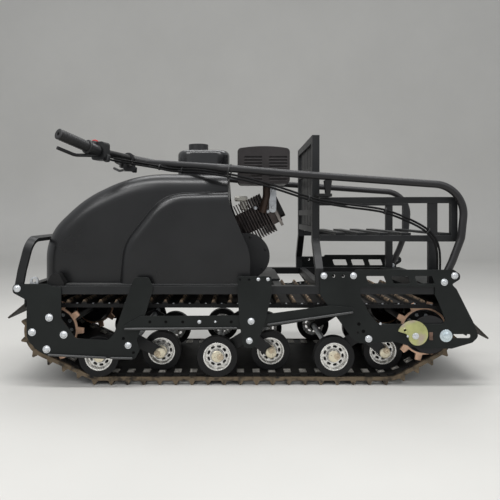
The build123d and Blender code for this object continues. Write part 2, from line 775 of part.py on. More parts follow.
ENGINE_FOOT = RAIL_TOP + 6.0
ENGINE_TOP = 600.0
LEAN = 26.0
FIN_MIDDLE = (52.0, 535.0)
FIN_TALL = 146.0
FIN_PITCH = 10.0
FINS = 11
BLOCK_HALF = 110.0
CYLINDER_HALF = 95.0
HEAD_END = 84.0
GUARD_LOW = 652.0
TANK_TOP = 783.0


def engine():
    save("engine_mount", Pos(-60, 0, RAIL_TOP + 3) * Box(390, 300, 6))
    block = Pos(-135, 0, (ENGINE_FOOT + ENGINE_TOP) / 2) * Box(190, 2 * BLOCK_HALF, ENGINE_TOP - ENGINE_FOOT)
    block = fillet(block.edges().filter_by(Axis.Z), 25)
    save("engine_block", block)
    tilt = Pos(FIN_MIDDLE[0], 0, FIN_MIDDLE[1]) * Rot(0, -LEAN, 0)
    core = Pos(-30, 0, 0) * Box(170, 120, 80)
    first = -FIN_PITCH * (FINS - 1) / 2
    fins = [Pos(first + FIN_PITCH * i, 0, 0) * Box(4, 2 * CYLINDER_HALF, FIN_TALL) for i in range(FINS)]
    head = Pos(HEAD_END - 16, 0, 0) * Box(32, 2 * CYLINDER_HALF, 96)
    cylinder = tilt * sum_of([core, head] + fins)
    cylinder -= Pos(-140, 0, 460) * Box(200.6, 230, 400)
    save("engine_cylinder", cylinder)
    lid = fillet(Box(20, 120, 78).edges().filter_by(Axis.X), 14)
    save("valve_cover", tilt * (Pos(HEAD_END + 10.3, 0, 0) * lid))
    pipe_top = GUARD_LOW - RUNNING
    save("exhaust_pipe", tube([(76, -108.3, 556), (91, -112, 615), (91, -112, pipe_top)], 13, 60))
    bracket = outline(((101, 556, 12), (101, pipe_top, 3), (126, pipe_top, 3), (126, 556, 12)))
    save("muffler_bracket", slab(bracket, -CYLINDER_HALF - 4, -CYLINDER_HALF))
    save("muffler_guard", muffler_guard())
    seat = ENGINE_FOOT + RUNNING
    foot = outline(((-22, seat, 0), (66, seat, 0), (52, seat + 24, 0), (-8, seat + 24, 0)))
    cover = disc(22, seat + 78, 77, -BLOCK_HALF - 55, -BLOCK_HALF - RUNNING)
    save("drive_cover", cover + slab(foot, -BLOCK_HALF - 38, -BLOCK_HALF - 6))
    save("recoil_starter", disc(-135, 470, 95, BLOCK_HALF + RUNNING, BLOCK_HALF + 60))
    tank = Pos(-135.5, 0, (ENGINE_TOP + TANK_TOP) / 2) * Box(189, 140, TANK_TOP - ENGINE_TOP)
    tank = fillet(tank.edges().filter_by(Axis.Z), 58)
    tank = fillet(tank.faces().sort_by(Axis.Z)[-1].edges(), 18)
    save("fuel_tank", tank)
    save("tank_cap", disc_up(-156, 0, 36, TANK_TOP, TANK_TOP + 25))


def muffler_guard():
    """Heat guard over the muffler with two columns of louvres."""
    side = make_face(
        Wire(
            [
                Line((-10, GUARD_LOW), (-10, 770)),
                ThreePointArc((-10, 770), (77.5, 778), (165, 770)),
                Line((165, 770), (165, GUARD_LOW)),
                Line((165, GUARD_LOW), (-10, GUARD_LOW)),
            ]
        )
    )
    guard = slab(side, -190, -60)
    guard = fillet(guard.edges().filter_by(Axis.Y), 14)
    louvres = []
    for row in range(8):
        z = 741 - 10.55 * row
        first = 13 + 7 * max(0, row - 3)
        louvres.append(Pos((first + 72) / 2, -190, z) * Box(72 - first, 8, 6))
        louvres.append(Pos(126, -190, z) * Box(60, 8, 6))
    return guard - louvres


def place_all():
    """Centre the machine on the origin and write one file for each node."""
    os.makedirs("parts", exist_ok=True)
    whole = Compound([solid for solids in pieces.values() for solid in solids]).bounding_box()
    behind = round(whole.center().X)
    home = Pos(-behind, 0, 0)
    for name, solids in pieces.items():
        moved = [home * solid for solid in solids]
        shape = moved[0] if len(moved) == 1 else Compound(children=moved)
        export_step(shape, "parts/" + name + ".step")
    print("origin lies", behind, "mm behind the middle between the wheels")


running_gear()
side_frames()
cross_members()
save_pairs("tension_cams", tension_cam())
cargo_rack()
front_end()
rear_end()
save("hood", hood())
engine()
tiller()
place_all()
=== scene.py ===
"""Finishes and small parts of a walk-behind snow tug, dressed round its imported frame.

Lengths in tables are millimetres in the machine's own axes: X = 0 near the middle
of the tracks, front towards -X, left side towards -Y, ground at Z = 0.
"""

from __future__ import annotations

import json
import logging
import math
from dataclasses import dataclass
from enum import Enum
from functools import cached_property
from typing import Iterable, Sequence

import bmesh
import bpy
from mathutils import Matrix, Vector

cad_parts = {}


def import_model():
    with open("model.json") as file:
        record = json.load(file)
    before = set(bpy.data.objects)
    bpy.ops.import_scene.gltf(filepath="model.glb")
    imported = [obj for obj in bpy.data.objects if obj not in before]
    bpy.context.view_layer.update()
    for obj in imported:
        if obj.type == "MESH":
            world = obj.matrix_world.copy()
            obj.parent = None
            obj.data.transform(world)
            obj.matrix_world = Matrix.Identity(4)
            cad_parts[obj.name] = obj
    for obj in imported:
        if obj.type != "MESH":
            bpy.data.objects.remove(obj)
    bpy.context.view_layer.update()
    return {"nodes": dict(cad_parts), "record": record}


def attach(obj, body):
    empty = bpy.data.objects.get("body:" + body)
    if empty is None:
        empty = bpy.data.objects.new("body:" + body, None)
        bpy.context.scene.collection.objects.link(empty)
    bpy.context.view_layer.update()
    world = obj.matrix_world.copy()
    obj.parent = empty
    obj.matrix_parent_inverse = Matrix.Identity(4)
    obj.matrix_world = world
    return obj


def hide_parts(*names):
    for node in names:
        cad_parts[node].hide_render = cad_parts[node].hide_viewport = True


LOG = logging.getLogger("snow_tug")

Color = tuple[float, float, float]
Point = tuple[float, float, float]
Rows = tuple[tuple[float, ...], ...]
Inputs = dict[str | int, object]
Mesh = bpy.types.Mesh
Node = bpy.types.Node
NodeTree = bpy.types.NodeTree
Socket = bpy.types.NodeSocket

MIDDLE_X = -25.0
MM = 0.001
FULL_TURN = 2 * math.pi
BOTH_SIDES = (-1, 1)
SHARP_ANGLE = math.radians(40)


def at(x: float, y: float, z: float) -> Vector:
    """Place a machine point in the frame.

    Args:
        x: Place along the machine, in millimetres.
        y: Place across it.
        z: Height over the ground.

    Returns:
        The point in the frame, in metres.
    """
    return Vector(((x + MIDDLE_X) * MM, y * MM, z * MM))


class Body(Enum):
    """Bodies that pieces ride on."""

    CHASSIS = "chassis"
    TILLER = "tiller"


# Node helpers


def feed(tree: NodeTree, node: Node, inputs: Inputs) -> None:
    """Set or link a node's inputs.

    Args:
        tree: The node's tree.
        node: The node.
        inputs: Name or number of each input, with its value or the output that feeds it.
    """
    for key, value in inputs.items():
        if isinstance(value, Socket):
            tree.links.new(value, node.inputs[key])
        else:
            node.inputs[key].default_value = value


def added(tree: NodeTree, kind: str, inputs: Inputs, **settings: object) -> Node:
    """Add a node to a tree.

    Args:
        tree: The tree.
        kind: The node's type.
        inputs: Its inputs, as feed takes them.
        settings: Its own properties, set before the inputs.

    Returns:
        The new node.
    """
    node = tree.nodes.new(kind)
    for key, value in settings.items():
        setattr(node, key, value)
    feed(tree, node, inputs)
    return node


def noise(tree: NodeTree, scale: float | Socket, detail: float, roughness: float = 0.5) -> Socket:
    """Add noise in object coordinates.

    Args:
        tree: The shader tree.
        scale: Patches to the metre.
        detail: Number of finer layers.
        roughness: Weight of the finer layers.

    Returns:
        The noise, from 0 to 1.
    """
    place = added(tree, "ShaderNodeTexCoord", {}).outputs["Object"]
    inputs = {"Vector": place, "Scale": scale, "Detail": detail, "Roughness": roughness}
    return added(tree, "ShaderNodeTexNoise", inputs).outputs["Fac"]


def object_place(tree: NodeTree) -> bpy.types.bpy_prop_collection:
    """Split the object coordinates.

    Args:
        tree: The shader tree.

    Returns:
        The outputs X, Y and Z, in metres.
    """
    place = added(tree, "ShaderNodeTexCoord", {}).outputs["Object"]
    return added(tree, "ShaderNodeSeparateXYZ", {"Vector": place}).outputs


def mapped(
    tree: NodeTree, value: Socket, low: float, high: float, first: float = 0.0, last: float = 1.0
) -> Socket:
    """Map one range onto another and hold it at its ends.

    Args:
        tree: The shader tree.
        value: What is mapped.
        low: Value that becomes first.
        high: Value that becomes last.
        first: Result at low.
        last: Result at high.

    Returns:
        The mapped value.
    """
    inputs = {"Value": value, "From Min": low, "From Max": high, "To Min": first, "To Max": last}
    return added(tree, "ShaderNodeMapRange", inputs).outputs["Result"]


def multiplied(tree: NodeTree, one: Socket, other: Socket, clamp: bool = False) -> Socket:
    """Multiply two values.

    Args:
        tree: The tree.
        one: The first value.
        other: The second value.
        clamp: Whether the product is held within 0 and 1.

    Returns:
        The product.
    """
    inputs = {0: one, 1: other}
    return added(tree, "ShaderNodeMath", inputs, operation="MULTIPLY", use_clamp=clamp).outputs["Value"]


def blended(tree: NodeTree, mask: Socket, color: Socket, over: Color) -> Socket:
    """Lay a colour over another by a mask.

    Args:
        tree: The shader tree.
        mask: Where the new colour shows.
        color: The colour below.
        over: The colour on top.

    Returns:
        The mixed colour.
    """
    inputs = {0: mask, 6: color, 7: (*over, 1)}
    return added(tree, "ShaderNodeMix", inputs, data_type="RGBA").outputs[2]


# Shader groups


class ShaderGroups:
    """Node groups that several finishes share, each built at its first use."""

    BEVEL_SAMPLES = 4
    # Cosine between the rounded and the flat normal, off an edge and on it
    OFF_EDGE = 0.995
    ON_EDGE = 0.86

    def begin(self, name: str, inputs: dict[str, float], *outputs: str) -> NodeTree:
        """Make an empty shader group.

        Args:
            name: The group's name.
            inputs: Value sockets with their defaults.
            outputs: Names of the value outputs.

        Returns:
            The new node tree with its input and output nodes.
        """
        tree = bpy.data.node_groups.new(name, "ShaderNodeTree")
        for key, value in inputs.items():
            socket = tree.interface.new_socket(key, in_out="INPUT", socket_type="NodeSocketFloat")
            socket.default_value = value
        for key in outputs:
            tree.interface.new_socket(key, in_out="OUTPUT", socket_type="NodeSocketFloat")
        tree.nodes.new("NodeGroupInput").name = "in"
        tree.nodes.new("NodeGroupOutput").name = "out"
        return tree

    def broken_up(self, tree: NodeTree, where: Socket, detail: float, low: float, high: float) -> NodeTree:
        """End a group in its mask, broken up by noise and scaled by Amount.

        Args:
            tree: The group, with the inputs Amount and Patches.
            where: The whole mask.
            detail: Number of the noise's finer layers.
            low: Noise up to which nothing shows.
            high: Noise from which all of it shows.

        Returns:
            The finished group.
        """
        given = tree.nodes["in"].outputs
        patch = mapped(tree, noise(tree, given["Patches"], detail), low, high)
        shown = multiplied(tree, where, patch)
        feed(tree, tree.nodes["out"], {"Mask": multiplied(tree, shown, given["Amount"], clamp=True)})
        return tree

    @cached_property
    def grain(self) -> NodeTree:
        """Two sizes of noise: a fine height for bumps and a slow mottle.

        Returns:
            The group, with the outputs Height and Mottle.
        """
        tree = self.begin("surface_grain", {"Fine": 900.0, "Slow": 9.0}, "Height", "Mottle")
        given = tree.nodes["in"].outputs
        height = noise(tree, given["Fine"], 3.0)
        mottle = noise(tree, given["Slow"], 6.0, 0.62)
        feed(tree, tree.nodes["out"], {"Height": height, "Mottle": mottle})
        return tree

    @cached_property
    def rubbed_edges(self) -> NodeTree:
        """Mask of the edges that wear first, broken up by noise.

        Returns:
            The group, with the output Mask.
        """
        tree = self.begin("rubbed_edges", {"Width": 0.002, "Amount": 0.5, "Patches": 60.0}, "Mask")
        width = tree.nodes["in"].outputs["Width"]
        bevel = added(tree, "ShaderNodeBevel", {"Radius": width}, samples=self.BEVEL_SAMPLES)
        flat = added(tree, "ShaderNodeNewGeometry", {})
        normals = {0: bevel.outputs["Normal"], 1: flat.outputs["Normal"]}
        dot = added(tree, "ShaderNodeVectorMath", normals, operation="DOT_PRODUCT")
        edge = mapped(tree, dot.outputs["Value"], self.OFF_EDGE, self.ON_EDGE)
        return self.broken_up(tree, edge, 4.0, 0.42, 0.62)

    @cached_property
    def settled_dust(self) -> NodeTree:
        """Mask of dust and painted highlight on faces that look up, in soft patches.

        Returns:
            The group, with the output Mask.
        """
        tree = self.begin("settled_dust", {"Amount": 0.3, "Patches": 14.0}, "Mask")
        shape = added(tree, "ShaderNodeNewGeometry", {})
        split = added(tree, "ShaderNodeSeparateXYZ", {"Vector": shape.outputs["Normal"]})
        return self.broken_up(tree, mapped(tree, split.outputs["Z"], 0.35, 1.0), 5.0, 0.3, 0.75)


GROUPS = ShaderGroups()


# Values that every finish shares; lengths are in millimetres
COAT_ROUGHNESS = 0.12
LEAST_ROUGHNESS = 0.03
BUMP_DISTANCE = 0.4
# Width of the rubbed band for each millimetre of edge
RUB_REACH = 1.6
# Mottle at the dark and the light tone, and at the smooth and the rough end
TONE_STOPS = (0.36, 0.66)
ROUGH_STOPS = (0.25, 0.75)


@dataclass(frozen=True)
class Finish:
    """One surface finish and the material that shows it."""

    name: str
    color: Color
    rough: float
    metallic: float = 0.0
    second: Color | None = None
    mottle: float = 0.35
    slow: float = 9.0
    fine: float = 900.0
    depth: float = 0.15
    rough_spread: float = 0.12
    edge: float = 1.2
    rub: float = 0.0
    rub_color: Color = (0.30, 0.30, 0.29)
    # Dust and painted highlight on faces that look up: its amount and colour
    dust_and_highlight: float = 0.0
    dust_and_highlight_color: Color = (0.20, 0.18, 0.15)
    coat: float = 0.0
    specular: float = 0.5

    def material(self) -> bpy.types.Material:
        """The finish's material, built at its first use.

        Returns:
            The material.
        """
        title = "finish_" + self.name
        made = bpy.data.materials.get(title)
        if made is None:
            made = bpy.data.materials.new(title)
            made.use_nodes = True
            self.dress(made.node_tree)
        return made

    def dress(self, tree: NodeTree) -> None:
        """Fill the material's nodes.

        Args:
            tree: The material's empty node tree.
        """
        inputs = {"Fine": self.fine, "Slow": self.slow}
        grain = added(tree, "ShaderNodeGroup", inputs, node_tree=GROUPS.grain).outputs
        half = self.rough_spread / 2
        smooth, coarse = max(LEAST_ROUGHNESS, self.rough - half), min(1.0, self.rough + half)
        bump = {"Strength": self.depth, "Distance": BUMP_DISTANCE * MM, "Height": grain["Height"]}
        if self.edge:
            inputs = {"Radius": self.edge * MM}
            bevel = added(tree, "ShaderNodeBevel", inputs, samples=GROUPS.BEVEL_SAMPLES)
            bump["Normal"] = bevel.outputs["Normal"]
        feed(tree, tree.nodes["Principled BSDF"], {
            "Metallic": self.metallic, "Specular IOR Level": self.specular, "Coat Weight": self.coat,
            "Coat Roughness": COAT_ROUGHNESS, "Base Color": self.full_color(tree, grain["Mottle"]),
            "Roughness": mapped(tree, grain["Mottle"], *ROUGH_STOPS, smooth, coarse),
            "Normal": added(tree, "ShaderNodeBump", bump).outputs["Normal"],
        })

    def full_color(self, tree: NodeTree, mottle: Socket) -> Socket:
        """Base colour with rubbed edges, dust and painted highlight on faces that look up, and the finish's
        own detail.

        Args:
            tree: The material's node tree.
            mottle: Slow noise from the grain group.

        Returns:
            The colour of the surface.
        """
        color = self.mottled(tree, mottle)
        if self.rub:
            inputs = {"Width": self.edge * MM * RUB_REACH, "Amount": self.rub}
            worn = added(tree, "ShaderNodeGroup", inputs, node_tree=GROUPS.rubbed_edges)
            color = blended(tree, worn.outputs["Mask"], color, self.rub_color)
        # Faces that look up get dust and painted highlight
        if self.dust_and_highlight:
            dust_and_highlight_mask = added(tree, "ShaderNodeGroup", {"Amount": self.dust_and_highlight}, node_tree=GROUPS.settled_dust)
            color = blended(tree, dust_and_highlight_mask.outputs["Mask"], color, self.dust_and_highlight_color)
        return self.extra_color(tree, color)

    def mottled(self, tree: NodeTree, mottle: Socket) -> Socket:
        """Base colour that drifts between two tones.

        Args:
            tree: The material's node tree.
            mottle: Slow noise from the grain group.

        Returns:
            The colour output.
        """
        dark = tuple(c * (1 - self.mottle) for c in self.color)
        light = self.second or tuple(min(1.0, c * (1 + self.mottle)) for c in self.color)
        ramp = added(tree, "ShaderNodeValToRGB", {"Fac": mottle})
        for stop, place, tone in zip(ramp.color_ramp.elements, TONE_STOPS, (dark, light)):
            stop.position = place
            stop.color = (*tone, 1)
        return ramp.outputs["Color"]

    def extra_color(self, tree: NodeTree, color: Socket) -> Socket:
        """Colour detail of a special finish; a plain one has none.

        Args:
            tree: The material's node tree.
            color: The colour so far.

        Returns:
            The colour with the detail.
        """
        return color


@dataclass(frozen=True)
class TrackRubber(Finish):
    """Moulded belt, browned on the lower run's edges, kept dark on the upper run as painted shade, with
    dried grit and painted highlight on the upper run's lugs.
    """

    edge_y: float = 238.0
    edge_tint: Color = (0.15, 0.112, 0.07)
    lug_z: float = 265.0
    # Tan on the upper run's lug tops: dried grit and painted highlight
    grit_and_highlight_tint: Color = (0.52, 0.37, 0.24)
    # Depth below the lugs at which the brown edge starts and is full, and its small share above that, which
    # is painted shade on the upper run
    run_drop: tuple[float, float] = (25, 55)
    shaded_upper_share: float = 0.12
    patches: float = 55.0
    patch_soft: float = 0.22

    def extra_color(self, tree: NodeTree, color: Socket) -> Socket:
        """Brown tint outside edge_y, kept weak on the upper run as painted shade, and tan grit with painted
        highlight above lug_z, both broken up by noise.

        Args:
            tree: The material's node tree.
            color: The colour so far.

        Returns:
            The colour with both tints.
        """
        place = object_place(tree)
        side = added(tree, "ShaderNodeMath", {0: place["Y"]}, operation="ABSOLUTE").outputs["Value"]
        start, full = (self.lug_z - drop for drop in self.run_drop)
        # Share of the brown edge, small on the upper run as painted shade
        lower = mapped(tree, place["Z"], start * MM, full * MM, self.shaded_upper_share)
        spread = noise(tree, self.patches, 6.0)
        # columns: what is measured, where the tint starts, its rise, the noise it needs, its most, the tint
        rows = (
            (multiplied(tree, side, lower), self.edge_y, 12, 0.32, 0.95, self.edge_tint),
            # Tan over lug_z is dried grit and painted highlight
            (place["Z"], self.lug_z, 8, 0.41, 0.92, self.grit_and_highlight_tint),
        )
        for source, first, rise, share, most, tint in rows:
            reach = mapped(tree, source, first * MM, (first + rise) * MM)
            patch = mapped(tree, spread, share, share + self.patch_soft, 0.0, most)
            color = blended(tree, multiplied(tree, reach, patch), color, tint)
        return color


@dataclass(frozen=True)
class HeatStained(Finish):
    """Bare pipe that browned from the heat, darker towards one end."""

    low_z: float = 560.0
    high_z: float = 660.0
    stain: Color = (0.05, 0.035, 0.028)

    def extra_color(self, tree: NodeTree, color: Socket) -> Socket:
        """Straw to dark brown over the pipe's height.

        Args:
            tree: The material's node tree.
            color: The colour so far.

        Returns:
            The stained colour.
        """
        rise = mapped(tree, object_place(tree)["Z"], self.low_z * MM, self.high_z * MM)
        return blended(tree, rise, color, self.stain)


@dataclass(frozen=True)
class YellowZinc(Finish):
    """Yellow passivated zinc with the violet and green sheen of its film."""

    sheen: Color = (0.42, 0.30, 0.36)
    patches: float = 26.0

    def extra_color(self, tree: NodeTree, color: Socket) -> Socket:
        """Slow patches of violet over the yellow.

        Args:
            tree: The material's node tree.
            color: The colour so far.

        Returns:
            The colour with the sheen.
        """
        patch = mapped(tree, noise(tree, self.patches, 2.0), 0.5, 0.72, 0.0, 0.7)
        return blended(tree, patch, color, self.sheen)


class Finishes:
    """Every finish of the machine."""

    HOOD = Finish(
        "hood_plastic", (0.0070, 0.0071, 0.0075), 0.30, mottle=0.30, slow=4.0, fine=1400, depth=0.14,
        rough_spread=0.14, edge=4.0, dust_and_highlight=0.04, dust_and_highlight_color=(0.05, 0.05, 0.048), specular=0.5,
    )
    # Lips of the plates and the hood: their black paint in a lighter copy, with a light top, as painted
    # highlight
    LIP_HIGHLIT = Finish(
        "lip_paint", (0.045, 0.046, 0.046), 0.34, mottle=0.3, slow=12.0, fine=900, depth=0.10, edge=1.0,
        dust_and_highlight=0.5, dust_and_highlight_color=(0.13, 0.13, 0.125), specular=0.6,
    )
    PLATE = Finish(
        "plate_paint", (0.0098, 0.0116, 0.0110), 0.50, mottle=0.22, slow=7.0, fine=1100, depth=0.12,
        edge=1.2, rub=0.55, rub_color=(0.055, 0.057, 0.056), dust_and_highlight=0.12, dust_and_highlight_color=(0.05, 0.05, 0.048),
        specular=0.22,
    )
    FRAME = Finish(
        "frame_paint", (0.0112, 0.0118, 0.0124), 0.44, mottle=0.20, slow=8.0, fine=1100, depth=0.10,
        edge=1.8, rub=0.5, rub_color=(0.06, 0.061, 0.062), dust_and_highlight=0.3, dust_and_highlight_color=(0.10, 0.10, 0.097),
        specular=0.34,
    )
    TUBE = Finish(
        "tube_paint", (0.0150, 0.0145, 0.0152), 0.40, mottle=0.15, slow=8.0, fine=1100, depth=0.08,
        edge=1.2, dust_and_highlight=0.22, dust_and_highlight_color=(0.10, 0.098, 0.098), specular=0.4,
    )
    TRACK = TrackRubber(
        "track_rubber", (0.0062, 0.0060, 0.0062), 0.62, mottle=0.35, slow=30.0, fine=420, depth=0.35,
        edge=1.0, dust_and_highlight=0.35, dust_and_highlight_color=(0.030, 0.024, 0.018), specular=0.3,
    )
    TYRE = Finish(
        "wheel_tyre", (0.0048, 0.0048, 0.0052), 0.50, mottle=0.3, slow=40.0, fine=600, depth=0.25,
        edge=3.0, dust_and_highlight=0.15, dust_and_highlight_color=(0.03, 0.028, 0.025), specular=0.3,
    )
    ZINC = Finish(
        "wheel_zinc", (0.80, 0.79, 0.76), 0.27, metallic=0.72, mottle=0.24, slow=60.0, fine=500,
        depth=0.12, edge=1.0,
    )
    CREAM = Finish(
        "wheel_cap_plating", (0.80, 0.73, 0.56), 0.30, metallic=0.6, mottle=0.16, slow=50.0, fine=500,
        depth=0.08, edge=1.0,
    )
    PIN = Finish(
        "grease_bolt_plating", (0.62, 0.52, 0.38), 0.32, metallic=0.6, mottle=0.2, slow=60.0, fine=500,
        depth=0.08, edge=0.8, rub=0.4, rub_color=(0.16, 0.13, 0.10),
    )
    BOLT = Finish(
        "bolt_zinc", (0.66, 0.68, 0.70), 0.28, metallic=0.6, mottle=0.12, slow=80.0, fine=700,
        depth=0.06, edge=0.6,
    )
    BLUE = Finish(
        "washer_zinc", (0.62, 0.71, 0.75), 0.24, metallic=0.7, mottle=0.14, slow=60.0, fine=700,
        depth=0.06, edge=0.8,
    )
    CLIP = Finish(
        "clip_steel", (0.46, 0.44, 0.40), 0.38, metallic=0.7, mottle=0.4, slow=60.0, fine=500, depth=0.15,
        edge=0.8,
    )
    STEEL = Finish(
        "zinc_steel", (0.58, 0.60, 0.62), 0.32, metallic=0.7, mottle=0.2, slow=40.0, fine=500, depth=0.1,
    )
    COPPER = Finish(
        "sprocket_steel", (0.78, 0.50, 0.34), 0.42, metallic=0.30, mottle=0.22, slow=30.0, fine=500,
        depth=0.12, edge=1.0, rub=0.4, rub_color=(0.85, 0.70, 0.56),
    )
    SHAFT = Finish(
        "copper_steel", (0.008, 0.008, 0.009), 0.42, mottle=0.3, slow=30.0, fine=500, depth=0.12, edge=1.2,
        specular=0.35,
    )
    IRON = Finish(
        "black_iron", (0.009, 0.009, 0.010), 0.48, mottle=0.3, slow=30.0, fine=380, depth=0.3, edge=1.2,
        specular=0.35,
    )
    CAM = YellowZinc(
        "cam_zinc", (0.46, 0.47, 0.20), 0.32, metallic=0.45, mottle=0.14, slow=25.0, fine=500, depth=0.06,
    )
    RUST = Finish(
        "thread_steel", (0.16, 0.095, 0.07), 0.45, metallic=0.4, mottle=0.35, slow=90.0, fine=500, depth=0.2,
        edge=0.8,
    )
    PANEL = Finish(
        "panel_plastic", (0.0065, 0.0066, 0.0072), 0.45, mottle=0.2, fine=900, depth=0.15, edge=2.0,
        specular=0.3,
    )
    RUBBER = Finish(
        "rest_rubber", (0.007, 0.007, 0.007), 0.6, mottle=0.3, fine=700, depth=0.25, edge=1.5, specular=0.3,
    )
    FLAP = Finish(
        "flap_rubber", (0.040, 0.034, 0.028), 0.62, mottle=0.35, slow=16.0, fine=500, depth=0.3, edge=1.0,
        specular=0.3,
    )
    CASTING = Finish(
        "engine_cast", (0.009, 0.0085, 0.009), 0.42, mottle=0.3, slow=22.0, fine=420, depth=0.35, edge=2.0,
        specular=0.35,
    )
    FINS = Finish(
        "engine_alloy", (0.040, 0.031, 0.029), 0.38, metallic=0.35, second=(0.085, 0.066, 0.060),
        slow=26.0, fine=420, depth=0.25, edge=1.0, rub=0.8, rub_color=(0.30, 0.25, 0.235), specular=0.4,
    )
    EXHAUST = HeatStained(
        "exhaust_steel", (0.060, 0.036, 0.026), 0.40, metallic=0.4, mottle=0.3, slow=26.0, fine=500,
        depth=0.15, specular=0.4,
    )
    MUFFLER = Finish(
        "muffler_black", (0.026, 0.0225, 0.0225), 0.42, metallic=0.2, mottle=0.25, slow=12.0, fine=700,
        depth=0.15, edge=2.5, rub=0.3, rub_color=(0.08, 0.075, 0.075), specular=0.4,
    )
    PLASTIC = Finish(
        "cover_plastic", (0.0105, 0.0108, 0.0115), 0.42, mottle=0.18, fine=1000, depth=0.2, edge=1.6,
        specular=0.4,
    )
    PALE = Finish(
        "pale_casting", (0.62, 0.60, 0.54), 0.42, metallic=0.25, mottle=0.18, slow=40.0, fine=500,
        depth=0.25, edge=1.5,
    )
    STRAP = Finish(
        "strap_steel", (0.30, 0.27, 0.25), 0.38, metallic=0.6, mottle=0.25, slow=50.0, fine=500, depth=0.1,
        edge=0.8,
    )
    TANK = Finish("tank_paint", (0.008, 0.008, 0.009), 0.25, mottle=0.15, fine=900, depth=0.06, coat=0.4)
    CAP = Finish("cap_plastic", (0.008, 0.008, 0.0085), 0.4, mottle=0.2, fine=900, depth=0.15, edge=1.5)
    BAR = Finish("bar_steel", (0.009, 0.009, 0.0095), 0.32, mottle=0.15, fine=900, depth=0.06, specular=0.45)
    GRIP = Finish("grip_rubber", (0.0115, 0.0115, 0.012), 0.5, mottle=0.25, fine=800, depth=0.3, edge=1.2)
    LEVER = Finish("lever_alloy", (0.011, 0.011, 0.012), 0.3, metallic=0.2, mottle=0.2, fine=600, depth=0.08)
    CABLE = Finish(
        "cable_rubber", (0.0048, 0.0048, 0.005), 0.60, mottle=0.2, fine=900, depth=0.08, edge=0,
        specular=0.16,
    )
    RED = Finish("switch_red", (0.50, 0.014, 0.012), 0.35, mottle=0.1, fine=900, depth=0.05, edge=0.8)
    # Black of the discs and rings that paint shade in holes, in bores and round the wheel caps
    PAINTED_SHADE = Finish("deep_black", (0.0025, 0.0025, 0.0025), 0.8, mottle=0.1, edge=0, specular=0.1)


# Finish of each packed material slot
SLOT_FINISH: dict[str, Finish] = {
    "track_rubber": Finishes.TRACK, "wheel_tyre": Finishes.TYRE, "wheel_zinc": Finishes.ZINC,
    "sprocket_steel": Finishes.COPPER, "copper_steel": Finishes.SHAFT, "black_iron": Finishes.IRON,
    "black_steel": Finishes.FRAME, "zinc_steel": Finishes.STEEL, "plate_paint": Finishes.PLATE,
    "frame_paint": Finishes.FRAME, "cam_zinc": Finishes.CAM, "panel_plastic": Finishes.PANEL,
    "rest_rubber": Finishes.RUBBER, "flap_rubber": Finishes.FLAP, "hood_plastic": Finishes.HOOD,
    "engine_cast": Finishes.CASTING, "engine_alloy": Finishes.FINS, "exhaust_steel": Finishes.EXHAUST,
    "muffler_black": Finishes.MUFFLER, "cover_plastic": Finishes.PLASTIC, "tank_paint": Finishes.TANK,
    "cap_plastic": Finishes.CAP, "tube_paint": Finishes.TUBE, "bar_steel": Finishes.BAR,
    "grip_rubber": Finishes.GRIP, "lever_alloy": Finishes.LEVER, "cable_rubber": Finishes.CABLE,
}


# Mesh helpers


def plain_object(name: str, data: bpy.types.ID) -> bpy.types.Object:
    """Link data into the scene as a new object at the origin.

    Args:
        name: The object's name.
        data: Its mesh, curve, lamp or camera.

    Returns:
        The new object.
    """
    made = bpy.data.objects.new(name, data)
    bpy.context.scene.collection.objects.link(made)
    return made


def curve_object(name: str, kind: str, route: Sequence[Vector]) -> bpy.types.Object:
    """Make a curve through points.

    Args:
        name: The curve's name.
        kind: Its type of spline, NURBS or POLY.
        route: Its points, in metres.

    Returns:
        The curve's object.
    """
    curve = bpy.data.curves.new(name, "CURVE")
    curve.dimensions = "3D"
    spline = curve.splines.new(kind)
    spline.points.add(len(route) - 1)
    for point, place in zip(spline.points, route):
        point.co = (*place, 1)
    return plain_object(name, curve)


def as_mesh(name: str, shape: bmesh.types.BMesh, outwards: bool = True) -> Mesh:
    """Turn an edited shape into a mesh and free it.

    Args:
        name: Name of the mesh.
        shape: The edited shape.
        outwards: Whether its faces are turned outwards first.

    Returns:
        The new mesh.
    """
    if outwards:
        bmesh.ops.recalc_face_normals(shape, faces=shape.faces)
    mesh = bpy.data.meshes.new(name)
    shape.to_mesh(mesh)
    shape.free()
    return mesh


def joined(name: str, parts: Iterable[Mesh]) -> Mesh:
    """Join meshes into one and remove them.

    Args:
        name: Name of the joined mesh.
        parts: The meshes.

    Returns:
        The joined mesh.
    """
    shape = bmesh.new()
    for part in parts:
        shape.from_mesh(part)
        bpy.data.meshes.remove(part)
    return as_mesh(name, shape, outwards=False)


def lathe(name: str, profile: Sequence[tuple[float, float]], segments: int = 24) -> Mesh:
    """Turn a profile round +Z.

    Args:
        name: Name of the mesh.
        profile: Points of radius and height, from the top centre down.
        segments: Faces round the turn.

    Returns:
        A mesh with outward faces.
    """
    shape = bmesh.new()
    turns = [FULL_TURN * i / segments for i in range(segments)]
    around = [(math.cos(a), math.sin(a)) for a in turns]
    rings = []
    for radius, height in profile:
        if radius:
            rings.append([shape.verts.new((radius * c, radius * s, height)) for c, s in around])
        else:
            rings.append([shape.verts.new((0, 0, height))])
    for upper, lower in zip(rings, rings[1:]):
        for i in range(segments):
            j = (i + 1) % segments
            corners = (
                upper[i % len(upper)], lower[i % len(lower)], lower[j % len(lower)], upper[j % len(upper)],
            )
            unique = list(dict.fromkeys(corners))
            if len(unique) > 2:
                shape.faces.new(unique)
    return as_mesh(name, shape)


